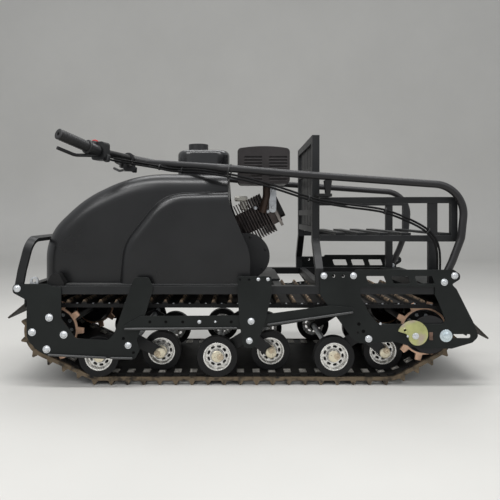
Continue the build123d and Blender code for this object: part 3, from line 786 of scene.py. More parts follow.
def rounded_box(
    name: str, size: Point, radius: float, segments: int = 2, where: Matrix | None = None
) -> Mesh:
    """Make a box with bevelled edges.

    Args:
        name: Name of the mesh.
        size: Its three sizes, in millimetres.
        radius: Radius of its edges.
        segments: Steps round each edge.
        where: Its place and turn; about the origin where none is given.

    Returns:
        The box, in metres.
    """
    shape = bmesh.new()
    bmesh.ops.create_cube(shape, size=1.0)
    bmesh.ops.scale(shape, vec=Vector(size) * MM, verts=shape.verts)
    bmesh.ops.bevel(
        shape, geom=shape.edges[:], offset=radius * MM, segments=segments, affect="EDGES", profile=0.5,
        clamp_overlap=True,
    )
    mesh = as_mesh(name, shape)
    if where is not None:
        mesh.transform(where)
    return mesh


def band(name: str, high: float, wide: float, deep: float, thick: float, sides: int = 28) -> Mesh:
    """Make a flat closed loop round +Z.

    Args:
        name: Name of the mesh.
        high: Half of its inner size along Y, in millimetres.
        wide: Half of its inner size along X.
        deep: Its size along Z.
        thick: Thickness of the strip.
        sides: Steps round the loop.

    Returns:
        A closed mesh in metres.
    """
    shape = bmesh.new()
    rings = []
    for i in range(sides):
        a = FULL_TURN * i / sides
        c, s = math.cos(a), math.sin(a)
        corners = []
        for more, z in ((0, -deep / 2), (thick, -deep / 2), (thick, deep / 2), (0, deep / 2)):
            corners.append(shape.verts.new(Vector(((wide + more) * c, (high + more) * s, z)) * MM))
        rings.append(corners)
    for i in range(sides):
        here, there = rings[i], rings[(i + 1) % sides]
        for k in range(4):
            shape.faces.new((here[k], there[k], there[(k + 1) % 4], here[(k + 1) % 4]))
    return as_mesh(name, shape)


@dataclass
class Spot:
    """Where one copy of a small part sits."""

    place: Vector
    facing: Vector
    size: float = 1.0
    spin: float = 0.0


def outward(side: int, x: float, face: float, z: float, size: float = 1.0, spin: float = 0.0) -> Spot:
    """Make a spot on a face that looks to one side.

    Args:
        side: -1 for the left, 1 for the right.
        x: Place along the machine, in millimetres.
        face: The face's distance from the middle plane.
        z: Height over the ground.
        size: Size of the copy.
        spin: Turn of the copy about its own axis, in radians.

    Returns:
        The spot.
    """
    return Spot(at(x, side * face, z), Vector((0, side, 0)), size, spin)


class CopyTree:
    """Geometry Nodes trees that set copies of a small part on spots or along a line."""

    def ends(self, name: str, key: str, kind: str) -> NodeTree:
        """Make a tree with its geometry sockets, Copy, Finish and one input of its own.

        Args:
            name: The tree's name.
            key: Name of its own input.
            kind: Socket type of that input.

        Returns:
            The tree with its input and output nodes.
        """
        tree = bpy.data.node_groups.new(name, "GeometryNodeTree")
        tree.interface.new_socket("Geometry", in_out="INPUT", socket_type="NodeSocketGeometry")
        for word, sort in (("Copy", "NodeSocketObject"), (key, kind), ("Finish", "NodeSocketMaterial")):
            tree.interface.new_socket(word, in_out="INPUT", socket_type=sort)
        tree.interface.new_socket("Geometry", in_out="OUTPUT", socket_type="NodeSocketGeometry")
        tree.nodes.new("NodeGroupInput").name = "in"
        tree.nodes.new("NodeGroupOutput").name = "out"
        return tree

    def finish(self, tree: NodeTree, points: Socket, inputs: Inputs) -> NodeTree:
        """Set the copies, and end a tree in Realize Instances and Set Material.

        Args:
            tree: The tree.
            points: The points that carry the copies.
            inputs: Rotation of the copies, and their scale where it varies.

        Returns:
            The finished tree.
        """
        given = tree.nodes["in"].outputs
        copy = added(tree, "GeometryNodeObjectInfo", {"Object": given["Copy"]}).outputs["Geometry"]
        inputs = {"Points": points, "Instance": copy, **inputs}
        spread = added(tree, "GeometryNodeInstanceOnPoints", inputs).outputs["Instances"]
        real = added(tree, "GeometryNodeRealizeInstances", {"Geometry": spread}).outputs["Geometry"]
        inputs = {"Geometry": real, "Material": given["Finish"]}
        coat = added(tree, "GeometryNodeSetMaterial", inputs).outputs["Geometry"]
        feed(tree, tree.nodes["out"], {"Geometry": coat})
        return tree

    @cached_property
    def on_spots(self) -> NodeTree:
        """Tree that reads each point's facing, spin and size.

        Returns:
            The tree, with the inputs Copy, Scale and Finish.
        """
        tree = self.ends("copies_on_spots", "Scale", "NodeSocketFloat")
        given = tree.nodes["in"].outputs
        reads = {}
        for key, kind in (("facing", "FLOAT_VECTOR"), ("spin", "FLOAT"), ("size", "FLOAT")):
            reader = added(tree, "GeometryNodeInputNamedAttribute", {"Name": key}, data_type=kind)
            reads[key] = reader.outputs["Attribute"]
        aim = added(tree, "FunctionNodeAlignRotationToVector", {"Vector": reads["facing"]}, axis="Z")
        spin = {"Axis": (0, 0, 1), "Angle": reads["spin"]}
        turn = added(tree, "FunctionNodeAxisAngleToRotation", spin)
        inputs = {"Rotation": aim.outputs["Rotation"], "Rotate By": turn.outputs["Rotation"]}
        both = added(tree, "FunctionNodeRotateRotation", inputs, rotation_space="LOCAL")
        scale = multiplied(tree, reads["size"], given["Scale"])
        return self.finish(
            tree, given["Geometry"], {"Rotation": both.outputs["Rotation"], "Scale": scale}
        )

    @cached_property
    def along_line(self) -> NodeTree:
        """Tree that spaces copies evenly along a curve, X along it and Y across the machine.

        Returns:
            The tree, with the inputs Copy, Count and Finish.
        """
        tree = self.ends("copies_along_line", "Count", "NodeSocketInt")
        given = tree.nodes["in"].outputs
        inputs = {"Curve": given["Geometry"], "Count": given["Count"]}
        even = added(tree, "GeometryNodeResampleCurve", inputs)
        tangent = added(tree, "GeometryNodeInputTangent", {}).outputs["Tangent"]
        axes = {"Primary Axis": tangent, "Secondary Axis": (0, 1, 0)}
        aim = added(tree, "FunctionNodeAxesToRotation", axes, primary_axis="X", secondary_axis="Y")
        return self.finish(tree, even.outputs["Curve"], {"Rotation": aim.outputs["Rotation"]})


COPIES = CopyTree()


def baked(carrier: bpy.types.Object, tree: NodeTree, part: Mesh, values: dict[str, object]) -> Mesh:
    """Run a Geometry Nodes tree on a carrier object and keep its plain mesh.

    Args:
        carrier: Object with the points or the curve, removed afterwards.
        tree: The Geometry Nodes tree.
        part: Mesh of one copy.
        values: Values of the tree's other named inputs.

    Returns:
        The resulting mesh.
    """
    template = plain_object(carrier.name + "_copy", part)
    modifier = carrier.modifiers.new("copies", "NODES")
    modifier.node_group = tree
    sockets = {item.name: item.identifier for item in tree.interface.items_tree if item.in_out == "INPUT"}
    for key, value in {"Copy": template, **values}.items():
        modifier[sockets[key]] = value
    bpy.context.view_layer.update()
    graph = bpy.context.evaluated_depsgraph_get()
    mesh = bpy.data.meshes.new_from_object(carrier.evaluated_get(graph), depsgraph=graph)
    data = carrier.data
    bpy.data.objects.remove(carrier)
    bpy.data.objects.remove(template)
    if isinstance(data, bpy.types.Curve):
        bpy.data.curves.remove(data)
    return mesh


def set_copies(
    name: str, part: Mesh, spots: Sequence[Spot], finish: Finish, body: Body, scale: float = MM
) -> None:
    """Set copies of a small part on spots, as one piece that rides on a body.

    Args:
        name: The piece's name.
        part: Mesh of one copy, upright along +Z.
        spots: Where the copies sit.
        finish: Their finish.
        body: The body that they ride on.
        scale: Size of one unit of the part's mesh, in metres.
    """
    points = bpy.data.meshes.new(name + "_spots")
    points.from_pydata([s.place for s in spots], [], [])
    for key, kind, word, values in (
        ("facing", "FLOAT_VECTOR", "vector", [c for s in spots for c in s.facing]),
        ("spin", "FLOAT", "value", [s.spin for s in spots]),
        ("size", "FLOAT", "value", [s.size for s in spots]),
    ):
        points.attributes.new(key, kind, "POINT").data.foreach_set(word, values)
    carrier = plain_object(name + "_carrier", points)
    mesh = baked(carrier, COPIES.on_spots, part, {"Scale": scale, "Finish": finish.material()})
    piece(name, mesh, finish, body)


def piece(name: str, mesh: Mesh, finish: Finish, body: Body) -> None:
    """Turn a mesh into a finished piece that rides on a body.

    Args:
        name: The piece's name.
        mesh: Its mesh, in the frame.
        finish: Its finish.
        body: The body that it rides on.
    """
    for layer in [a.name for a in mesh.attributes if a.name in ("facing", "spin", "size")]:
        mesh.attributes.remove(mesh.attributes[layer])
    made = plain_object(name, mesh)
    made.data.name = name
    if not mesh.materials:
        mesh.materials.append(finish.material())
    mesh.shade_smooth()
    mesh.set_sharp_from_angle(angle=SHARP_ANGLE)
    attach(made, body.value)
    LOG.info("%s: %d faces on %s", name, len(mesh.polygons), body.value)


# Sub-assemblies


@dataclass
class Cables:
    """Throttle and brake cables from the left pod, along the tiller's left tube, to its eye."""

    radius: float = 3.5
    half: float = 4.3
    tube_y: float = 267.2
    length: float = 1.344
    # columns: x, y, z of the pair's middle line from the pod to the tube
    front: Rows = (
        (-453.8, -195, 741), (-438, -152, 739), (-413, -112, 736), (-377, -82, 732), (-331, -74, 725),
        (-287, -84, 717), (-246, -106, 706), (-198, -150, 699.5), (-146, -203, 695),
    )
    # columns: x, distance outboard of the tube's middle, z
    along_tube: Rows = (
        (-92, -19.2, 684), (-37, 2.8, 674), (20, 16.8, 661), (85, 19.8, 643), (150, 19.8, 622),
        (215, 20.8, 599.5), (280, 20.8, 586), (345, 20.8, 575.5), (405, 19.8, 569), (455, 19.8, 560.5),
        (505, 19.8, 542), (552, 19.8, 521), (590, 18.8, 498), (614, 16.8, 470), (625, 12.8, 437),
        (629, 6.8, 408), (630.3, 2.8, 382), (630.3, 2.8, 364.3),
    )
    # columns: x on the pair's middle line, half height and half width of the tie, its rise towards the tube
    ties: Rows = (
        (-287, 9.4, 5.2, 0), (-198, 9.4, 5.2, 0), (-37, 22.6, 13.8, 12.6), (455, 9.4, 5.2, 0),
        (215, 9.4, 5.2, 0), (590, 9.4, 5.2, 0),
    )
    tie_deep: float = 4.5
    tie_thick: float = 1.3
    sleeve_size: float = 0.72
    sleeve_back: float = 0.5

    @cached_property
    def middle(self) -> list[Vector]:
        """Middle line of the pair, in the machine's axes and millimetres."""
        points = [Vector(row) for row in self.front]
        return points + [Vector((x, -self.tube_y - out, z)) for x, out, z in self.along_tube]

    def ahead(self, i: int) -> Vector:
        """Way along the middle line at one of its points.

        Args:
            i: Number of the point.

        Returns:
            The step from the point before it to the one after it.
        """
        return self.middle[min(i + 1, len(self.middle) - 1)] - self.middle[max(i - 1, 0)]

    def across(self, i: int) -> Vector:
        """Direction from one cable to the other at a point of the middle line.

        Args:
            i: Number of the point.

        Returns:
            The direction, of length 1.
        """
        return self.ahead(i).cross(Vector((0, 1, 0))).normalized()

    def cable(self, name: str, side: int) -> None:
        """Args:
            name: Its node, which it replaces.
            side: 1 for the upper cable, -1 for the lower one.
        """
        route = [at(*(p + self.across(i) * side * self.half)) for i, p in enumerate(self.middle)]
        made = curve_object(name + "_line", "NURBS", route)
        curve = made.data
        curve.splines[0].order_u = 3
        curve.splines[0].use_endpoint_u = True
        curve.resolution_u = 12
        curve.bevel_depth = self.radius * MM
        curve.bevel_resolution = 3
        curve.use_fill_caps = True
        curve.materials.append(Finishes.CABLE.material())
        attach(made, Body.TILLER.value)
        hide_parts(name)

    def build(self) -> None:
        """Make both cables."""
        self.cable("throttle_cable", 1)
        self.cable("brake_cable", -1)

    def sleeves(self) -> None:
        """Metal end sleeves where the cables enter the pod and the clip."""
        profile = ((3.4, 13), (4.4, 12.6), (4.9, 11), (4.9, 5), (5.6, 4.6), (5.6, 0), (3.4, 0))
        last = len(self.middle) - 1
        spots = []
        for i, way in ((0, self.ahead(0)), (last, -self.ahead(last))):
            way.normalize()
            for side in BOTH_SIDES:
                place = self.middle[i] + self.across(i) * side * self.half - way * self.sleeve_back
                spots.append(Spot(at(*place), way, self.sleeve_size))
        set_copies("cable_sleeves", lathe("sleeve", profile, 16), spots, Finishes.IRON, Body.TILLER)

    def tie_bands(self) -> None:
        """Flat plastic ties that hold the pair together and to the tube."""
        for number, (x, high, wide, lift) in enumerate(self.ties):
            i = min(range(len(self.middle)), key=lambda k: abs(self.middle[k].x - x))
            place = self.middle[i].copy()
            if lift:
                place.y = -self.tube_y
            place += self.across(i) * lift * (1 if self.across(i).z > 0 else -1)
            way = self.ahead(i).normalized()
            side = way.cross(Vector((0, 0, 1))).normalized()
            turn = Matrix((side, side.cross(way).normalized(), way)).transposed().to_4x4()
            tie = band(f"cable_tie_{number}", high, wide, self.tie_deep, self.tie_thick)
            tie.transform(Matrix.Translation(at(*place)) @ turn)
            piece(f"cable_tie_{number}", tie, Finishes.CAP, Body.TILLER)

    def dress(self) -> None:
        """Make what sits on the cables."""
        self.sleeves()
        self.tie_bands()


@dataclass
class PlateBolts:
    """Domed cap bolts, black screw-shaped discs as painted shade in holes, and lips on the outsides of the
    side frames.
    """

    plate_face: float = 289.5
    strap_face: float = 293.5
    middle_face: float = 298.5
    # The four bolts round the front axle: centre, circle, turn in degrees and size
    axle: tuple[float, float] = (-605.2, 175.6)
    circle: float = 50.0
    tilt: float = -4.6
    axle_bolt: float = 12.0
    # columns: x, z, radius of each bolt on the front and rear plates
    plate_bolts: Rows = (
        (-702, 317, 11.5), (-353, 138, 10.5), (262, 357, 10.5), (355, 357, 10.5), (640.5, 336.6, 11),
        (673, 357, 11), (402.5, 158.7, 11),
    )
    # columns: x, z, radius of each bolt on the middle plates
    middle_bolts: Rows = ((55.6, 347, 5.5), (86, 347, 5.5), (27.5, 155, 10), (33, 216, 10.5))
    # columns: x, z, radius of each bolt on the straps
    strap_bolts: Rows = ((-129, 213, 6), (-79, 213, 3.4))
    # columns: x, z, radius of each black screw-shaped disc that paints the shade in a hole of the plates
    plate_holes: Rows = (
        (-336, 116, 4.2), (-368, 161, 4.2), (372, 205.5, 5.5), (386, 182.5, 5.5), (291, 357, 4.2),
        (322, 357, 4.2),
    )
    # columns: x, z, radius of each black disc that paints the shade in a hole of the straps
    strap_holes: Rows = ((-284, 213, 4.6), (-234, 213, 4.6), (-181, 213, 4.6), (-29, 213, 4.6))
    # columns: first x and z, last x and z, face of each bent lip
    lips: Rows = (
        (-364, 191.5, -10, 194, 293.5), (84, 204.5, 352, 243.5, 293.5), (-604, 109.5, -420, 100, 289.5),
        (-408, 99.6, -338, 98.5, 289.5),
    )
    lip_thick: float = 7.0
    lip_round: float = 2.8
    lip_out: float = 3.2
    # Washer with a low dome on it, and countersunk screw with a round recess, both of unit radius
    dome: Rows = (
        (0, 0.46), (0.28, 0.44), (0.52, 0.36), (0.70, 0.22), (0.76, 0.12), (0.78, 0.09), (0.97, 0.08),
        (1.0, 0.05), (1.0, -0.02),
    )
    screw: Rows = ((0, 0.02), (0.5, 0.02), (0.56, 0.12), (0.9, 0.12), (1, 0.06), (1, -0.1))

    def axle_bolts(self) -> Rows:
        """X, z and radius of the bolts round the front axle.

        Returns:
            One row for each bolt.
        """
        x, z = self.axle
        turns = [math.radians(self.tilt + 90 * quarter) for quarter in range(4)]
        return tuple(
            (x + self.circle * math.cos(a), z + self.circle * math.sin(a), self.axle_bolt) for a in turns
        )

    def on_faces(self, *rows: tuple[float, Rows]) -> list[Spot]:
        """Spots on both sides of the machine.

        Args:
            rows: Distance of each face from the middle, with x, z and radius of what sits on it.

        Returns:
            The spots, the left side's first.
        """
        found = []
        for side in BOTH_SIDES:
            for face, table in rows:
                found += [outward(side, x, face, z, radius) for x, z, radius in table]
        return found

    def lip(self, side: int, x0: float, z0: float, x1: float, z1: float, face: float) -> Mesh:
        """Make one bent lip.

        Args:
            side: -1 for the left, 1 for the right.
            x0: X of its first end.
            z0: Z of its first end.
            x1: X of its last end.
            z1: Z of its last end.
            face: Distance of its face from the middle.

        Returns:
            The lip in its place.
        """
        middle = at((x0 + x1) / 2, side * (face + self.lip_out), (z0 + z1) / 2)
        where = Matrix.Translation(middle) @ Matrix.Rotation(-math.atan2(z1 - z0, x1 - x0), 4, "Y")
        size = (math.hypot(x1 - x0, z1 - z0), self.lip_thick, self.lip_thick)
        return rounded_box("lip", size, self.lip_round, 3, where)

    def build(self) -> None:
        """Make the bolts, the black discs of painted shade in the holes, and the lips."""
        bolts = self.on_faces(
            (self.plate_face, self.plate_bolts + self.axle_bolts()), (self.middle_face, self.middle_bolts),
            (self.strap_face, self.strap_bolts),
        )
        set_copies("plate_bolts", lathe("dome_bolt", self.dome, 28), bolts, Finishes.BOLT, Body.CHASSIS)
        # Black screw-shaped discs in the holes of plates and straps paint the shade in them
        dark = self.on_faces((self.plate_face, self.plate_holes), (self.strap_face, self.strap_holes))
        set_copies("dark_screws", lathe("dark_screw", self.screw, 20), dark, Finishes.PAINTED_SHADE, Body.CHASSIS)
        lips = joined("plate_lips", (self.lip(side, *row) for side in BOTH_SIDES for row in self.lips))
        piece("plate_lips", lips, Finishes.LIP_HIGHLIT, Body.CHASSIS)


@dataclass
class WheelCaps:
    """Faces of the road wheels: cap, off-centre grease bolt, and a flat black ring round the cap as painted
    shade.
    """

    wheel_z: float = 91.3
    outboard: float = 222.0
    inboard: float = 154.0
    hub_out: float = 26.0
    dish: float = 14.0
    bolt_out: float = 10.0
    bolt_rise: float = 2.0
    shade_ring_rise: float = 0.4
    spacer_rise: float = 2.0
    arm_face: float = 208.0
    arm_cap: float = 0.98
    # columns: x, whether the wheel runs outboard, angle of its grease bolt in degrees
    wheels: tuple[tuple[float, bool, float], ...] = (
        (-457, True, 90), (-265, False, 185), (-75, True, -6), (101, False, 86), (302, True, 8),
        (478, False, 70),
    )
    cap: Rows = ((0, 3.0), (12.0, 3.2), (16.5, 2.4), (18.3, 0.8), (18.5, -6), (14, -6))
    # Flat black ring round the cap: painted shade
    shade_ring: Rows = ((18.7, 0.5), (22.4, 0.5), (22.4, -0.5), (18.7, -0.5), (18.7, 0.5))
    bolt: Rows = (
        (0, 3.4), (3.4, 3.4), (3.6, 5.8), (6.0, 6.2), (7.4, 5.4), (7.8, 3.2), (10.2, 2.6), (10.8, 0.8),
        (10.8, -1.6),
    )
    spacer: Rows = ((0, 17), (13, 17), (13.6, 16), (13.6, 1), (13, 0), (0, 0))

    def build(self) -> None:
        """Make caps, grease bolts, the black rings of painted shade round the caps and the spacers of the
        inboard wheels.
        """
        caps, bolts, shade_rings, spacers = [], [], [], []
        z = self.wheel_z
        for side in BOTH_SIDES:
            for x, runs_out, angle in self.wheels:
                inner = self.outboard if runs_out else self.inboard
                turn = math.radians(angle)
                faces = [inner + self.hub_out]
                caps.append(outward(side, x, faces[0], z))
                if not runs_out:
                    faces.append(self.arm_face)
                    caps.append(outward(side, x, self.arm_face, z, self.arm_cap))
                    spacers.append(outward(side, x, faces[0] + self.spacer_rise, z))
                shade_rings.append(outward(side, x, inner + self.dish + self.shade_ring_rise, z))
                bolt_x, bolt_z = x + self.bolt_out * math.cos(turn), z + self.bolt_out * math.sin(turn)
                bolts += [outward(side, bolt_x, face + self.bolt_rise, bolt_z, 1.0, turn) for face in faces]
        for name, profile, segments, spots, finish in (
            ("wheel_caps", self.cap, 40, caps, Finishes.CREAM),
            # The black ring round each cap is painted shade
            ("cap_gaps", self.shade_ring, 40, shade_rings, Finishes.PAINTED_SHADE),
            ("grease_bolts", self.bolt, 24, bolts, Finishes.PIN),
            ("hub_spacers", self.spacer, 28, spacers, Finishes.CLIP),
        ):
            set_copies(name, lathe(name, profile, segments), spots, finish, Body.CHASSIS)


@dataclass
class TrackFittings:
    """Guide clips and rivets of the belt, one set per pitch."""

    front: tuple[float, float] = (-607.0, 173.0)
    rear: tuple[float, float] = (597.0, 170.0)
    front_wheel: float = -457.0
    rear_wheel: float = 478.0
    wheel_z: float = 91.3
    wheel_r: float = 65.3
    belt: float = 12.0
    teeth: int = 10
    pitch: float = 52.4
    clip_y: float = 190.0
    clip_round: float = 1.0
    rivet_y: float = 241.0
    # Distance between points on the rounds of the belt's line
    step: float = 4.0
    # Size and middle of each piece of a clip: its plate, then its two ears
    clip_parts: tuple[tuple[Point, Point], ...] = (
        ((24, 26, 2.4), (0, 0, -7.2)), ((24, 2.2, 4.0), (0, 12, -8.6)), ((20, 3.0, 3.4), (0, -5, -9.2)),
    )
    # columns: radius and height over the belt's outer face
    rivet_head: Rows = ((0, 3.0), (2.4, 2.4), (3.6, 0.6), (3.8, -0.6))

    def circles(self) -> list[Point]:
        """Centre and inner radius of each circle the belt runs round, the front axle last.

        Returns:
            One row for each circle: x, z and radius, in millimetres.
        """
        wrap = self.teeth * self.pitch / FULL_TURN - self.belt / 2
        return [
            (*self.rear, wrap), (self.rear_wheel, self.wheel_z, self.wheel_r),
            (self.front_wheel, self.wheel_z, self.wheel_r), (*self.front, wrap),
        ]

    def line(self, shift: float) -> list[Vector]:
        """Closed middle line of the belt.

        Args:
            shift: Distance of the first point behind the front axle's last touch, in millimetres.

        Returns:
            Points close together on the rounds, in metres, at the machine's middle plane.
        """
        rounds = self.circles()
        offset = self.belt / 2
        normals = []
        for (x0, z0, r0), (x1, z1, r1) in zip(rounds, rounds[1:] + rounds[:1]):
            reach = math.hypot(x1 - x0, z1 - z0)
            ax, az = (x1 - x0) / reach, (z1 - z0) / reach
            lean = (r0 - r1) / reach
            up = math.sqrt(1 - lean * lean)
            normals.append((lean * ax - up * az, lean * az + up * ax))
        points: list[Vector] = []
        for i, (x, z, r) in enumerate(rounds):
            before, after = normals[i - 1], normals[i]
            start = math.atan2(before[1], before[0])
            sweep = (start - math.atan2(after[1], after[0])) % FULL_TURN
            steps = max(2, int(sweep * (r + offset) / self.step))
            for k in range(steps + 1):
                a = start - sweep * k / steps
                points.append(at(x + (r + offset) * math.cos(a), 0, z + (r + offset) * math.sin(a)))
        leave = points[-1]
        if not shift:
            return [leave, *points[:-1]]
        return [leave + (points[0] - leave).normalized() * shift * MM, *points]

    def count(self) -> int:
        """Number of pitches along the belt's middle line.

        Returns:
            The number, rounded to a whole one.
        """
        points = self.line(0)
        length = sum((b - a).length for a, b in zip(points, points[1:] + points[:1]))
        return round(length / (self.pitch * MM))

    def along(self, name: str, part: Mesh, y: float, shift: float, finish: Finish) -> None:
        """Set one copy per pitch along the belt.

        Args:
            name: The piece's name.
            part: Mesh of one copy, in metres.
            y: Its place across the machine.
            shift: Distance of the first copy from the front axle's last touch.
            finish: Its finish.
        """
        route = [Vector((point.x, y * MM, point.z)) for point in self.line(shift)]
        loop = curve_object(name + "_line", "POLY", route)
        loop.data.splines[0].use_cyclic_u = True
        mesh = baked(loop, COPIES.along_line, part, {"Count": self.count(), "Finish": finish.material()})
        piece(name, mesh, finish, Body.CHASSIS)

    def clip(self) -> Mesh:
        """Pressed guide clip that wraps the web between two windows, with turned ears.

        Returns:
            The clip's mesh about the belt's middle line, in metres.
        """
        parts = []
        for size, place in self.clip_parts:
            where = Matrix.Translation(Vector(place) * MM)
            parts.append(rounded_box("clip_part", size, self.clip_round, 2, where))
        return joined("guide_clip", parts)

    def rivet(self) -> Mesh:
        """Rivet head on the belt's outer face.

        Returns:
            The head's mesh over the belt's middle line, in metres.
        """
        rise = self.belt / 2
        return lathe("rivet", [(r * MM, (rise + h) * MM) for r, h in self.rivet_head], 12)

    def build(self) -> None:
        """Make clips and rivets on both sides."""
        half = self.pitch / 2
        for side, word in ((-1, "left"), (1, "right")):
            self.along("guide_clips_" + word, self.clip(), side * self.clip_y, 0, Finishes.CLIP)
            self.along("belt_rivets_" + word, self.rivet(), side * self.rivet_y, half, Finishes.BOLT)


@dataclass
class Drive:
    """Bolts in the sprocket cups, track tensioners and cam bolts."""

    # columns: x, z of each axle and the turn of its bolt circle in degrees
    axles: Rows = ((-607.0, 173.0, 30.0), (597.0, 170.0, 34.0))
    cup_face: float = 204.0
    bolt_circle: float = 48.0
    bolt_size: float = 5.4
    bolts: int = 10
    plate_face: float = 289.5
    cam_face: float = 295.5
    adjuster: tuple[float, float] = (645.5, 168.4)
    cam: tuple[float, float] = (548.0, 169.0)
    cam_eye: tuple[float, float] = (515.0, 187.0)
    cam_screw: tuple[float, float] = (523.0, 168.0)
    corner: tuple[float, float] = (439.5, 206.0)
    block: tuple[float, float] = (598.0, 167.5)
    bore: tuple[float, float] = (602.0, 167.5)
    # Middles of the corner bolt, the thread block and its bore, off the plate's face
    corner_off: float = -1.0
    block_off: float = -4.5
    bore_off: float = 1.5
    block_size: Point = (25, 12, 14)
    block_round: float = 1.5
    # Bolt head on its washer; a spot's size scales it
    head: Rows = ((0, 0.9), (0.8, 0.88), (0.92, 0.72), (0.92, 0.2), (1.2, 0.16), (1.25, -0.05))

    def cup_bolts(self) -> list[Spot]:
        """Bolt heads on the floors of the hub cups.

        Returns:
            The spots of all cups on both sides.
        """
        found = []
        for x, z, phase in self.axles:
            for side in BOTH_SIDES:
                for i in range(self.bolts):
                    a = math.radians(phase) + FULL_TURN * i / self.bolts
                    bolt_x, bolt_z = x + self.bolt_circle * math.cos(a), z + self.bolt_circle * math.sin(a)
                    found.append(outward(side, bolt_x, self.cup_face, bolt_z, self.bolt_size, a))
        return found

    def build(self) -> None:
        """Make the drive's small parts."""
        head = lathe("cup_bolt", self.head, 6)
        set_copies("cup_bolts", head, self.cup_bolts(), Finishes.BOLT, Body.CHASSIS)
        washer = (
            (0, 7), (8.6, 6.6), (10.6, 5.2), (11, 2.6), (12.6, 2.5), (12.8, 2.2), (18.6, 2.0), (19.6, 1.4),
            (19.6, -0.2),
        )
        bolt = ((0, 4.6), (5.4, 4.3), (8.6, 2.8), (9.2, 1.2), (10.4, 1.0), (10.4, -0.3))
        eye = ((4.1, 0.4), (4.8, 1.3), (6.6, 1.3), (7.4, 0.4), (7.4, -0.2), (4.1, -0.2), (4.1, 0.4))
        screw = ((0, 2.6), (2.6, 2.3), (3.6, 1.0), (3.7, -0.3))
        corner = ((0, 3.2), (3.0, 2.9), (4.2, 1.4), (4.4, -0.3))
        bore = ((0, 0.4), (3.6, 0.4), (3.6, -0.4))
        block = rounded_box("thread_block", self.block_size, self.block_round)
        plate, cam = self.plate_face, self.cam_face
        rows = (
            ("tension_washers", lathe("adjuster", washer, 40), self.adjuster, plate, Finishes.BLUE, MM),
            ("cam_bolts", lathe("cam_bolt", bolt, 32), self.cam, cam, Finishes.BOLT, MM),
            ("cam_eyes", lathe("cam_eye", eye, 28), self.cam_eye, cam, Finishes.CAM, MM),
            ("cam_screws", lathe("cam_screw", screw, 18), self.cam_screw, cam, Finishes.BOLT, MM),
            ("corner_bolts", lathe("corner_bolt", corner, 18), self.corner, plate + self.corner_off,
             Finishes.BOLT, MM),
            ("thread_blocks", block, self.block, plate + self.block_off, Finishes.RUST, 1.0),
            # Black disc on the thread block: painted shade in its bore
            ("thread_bores", lathe("thread_bore", bore, 20), self.bore, plate + self.bore_off,
             Finishes.PAINTED_SHADE, MM),
        )
        for name, part, (x, z), face, finish, scale in rows:
            spots = [outward(side, x, face, z, 1.0, math.pi / 2) for side in BOTH_SIDES]
            set_copies(name, part, spots, finish, Body.CHASSIS, scale)


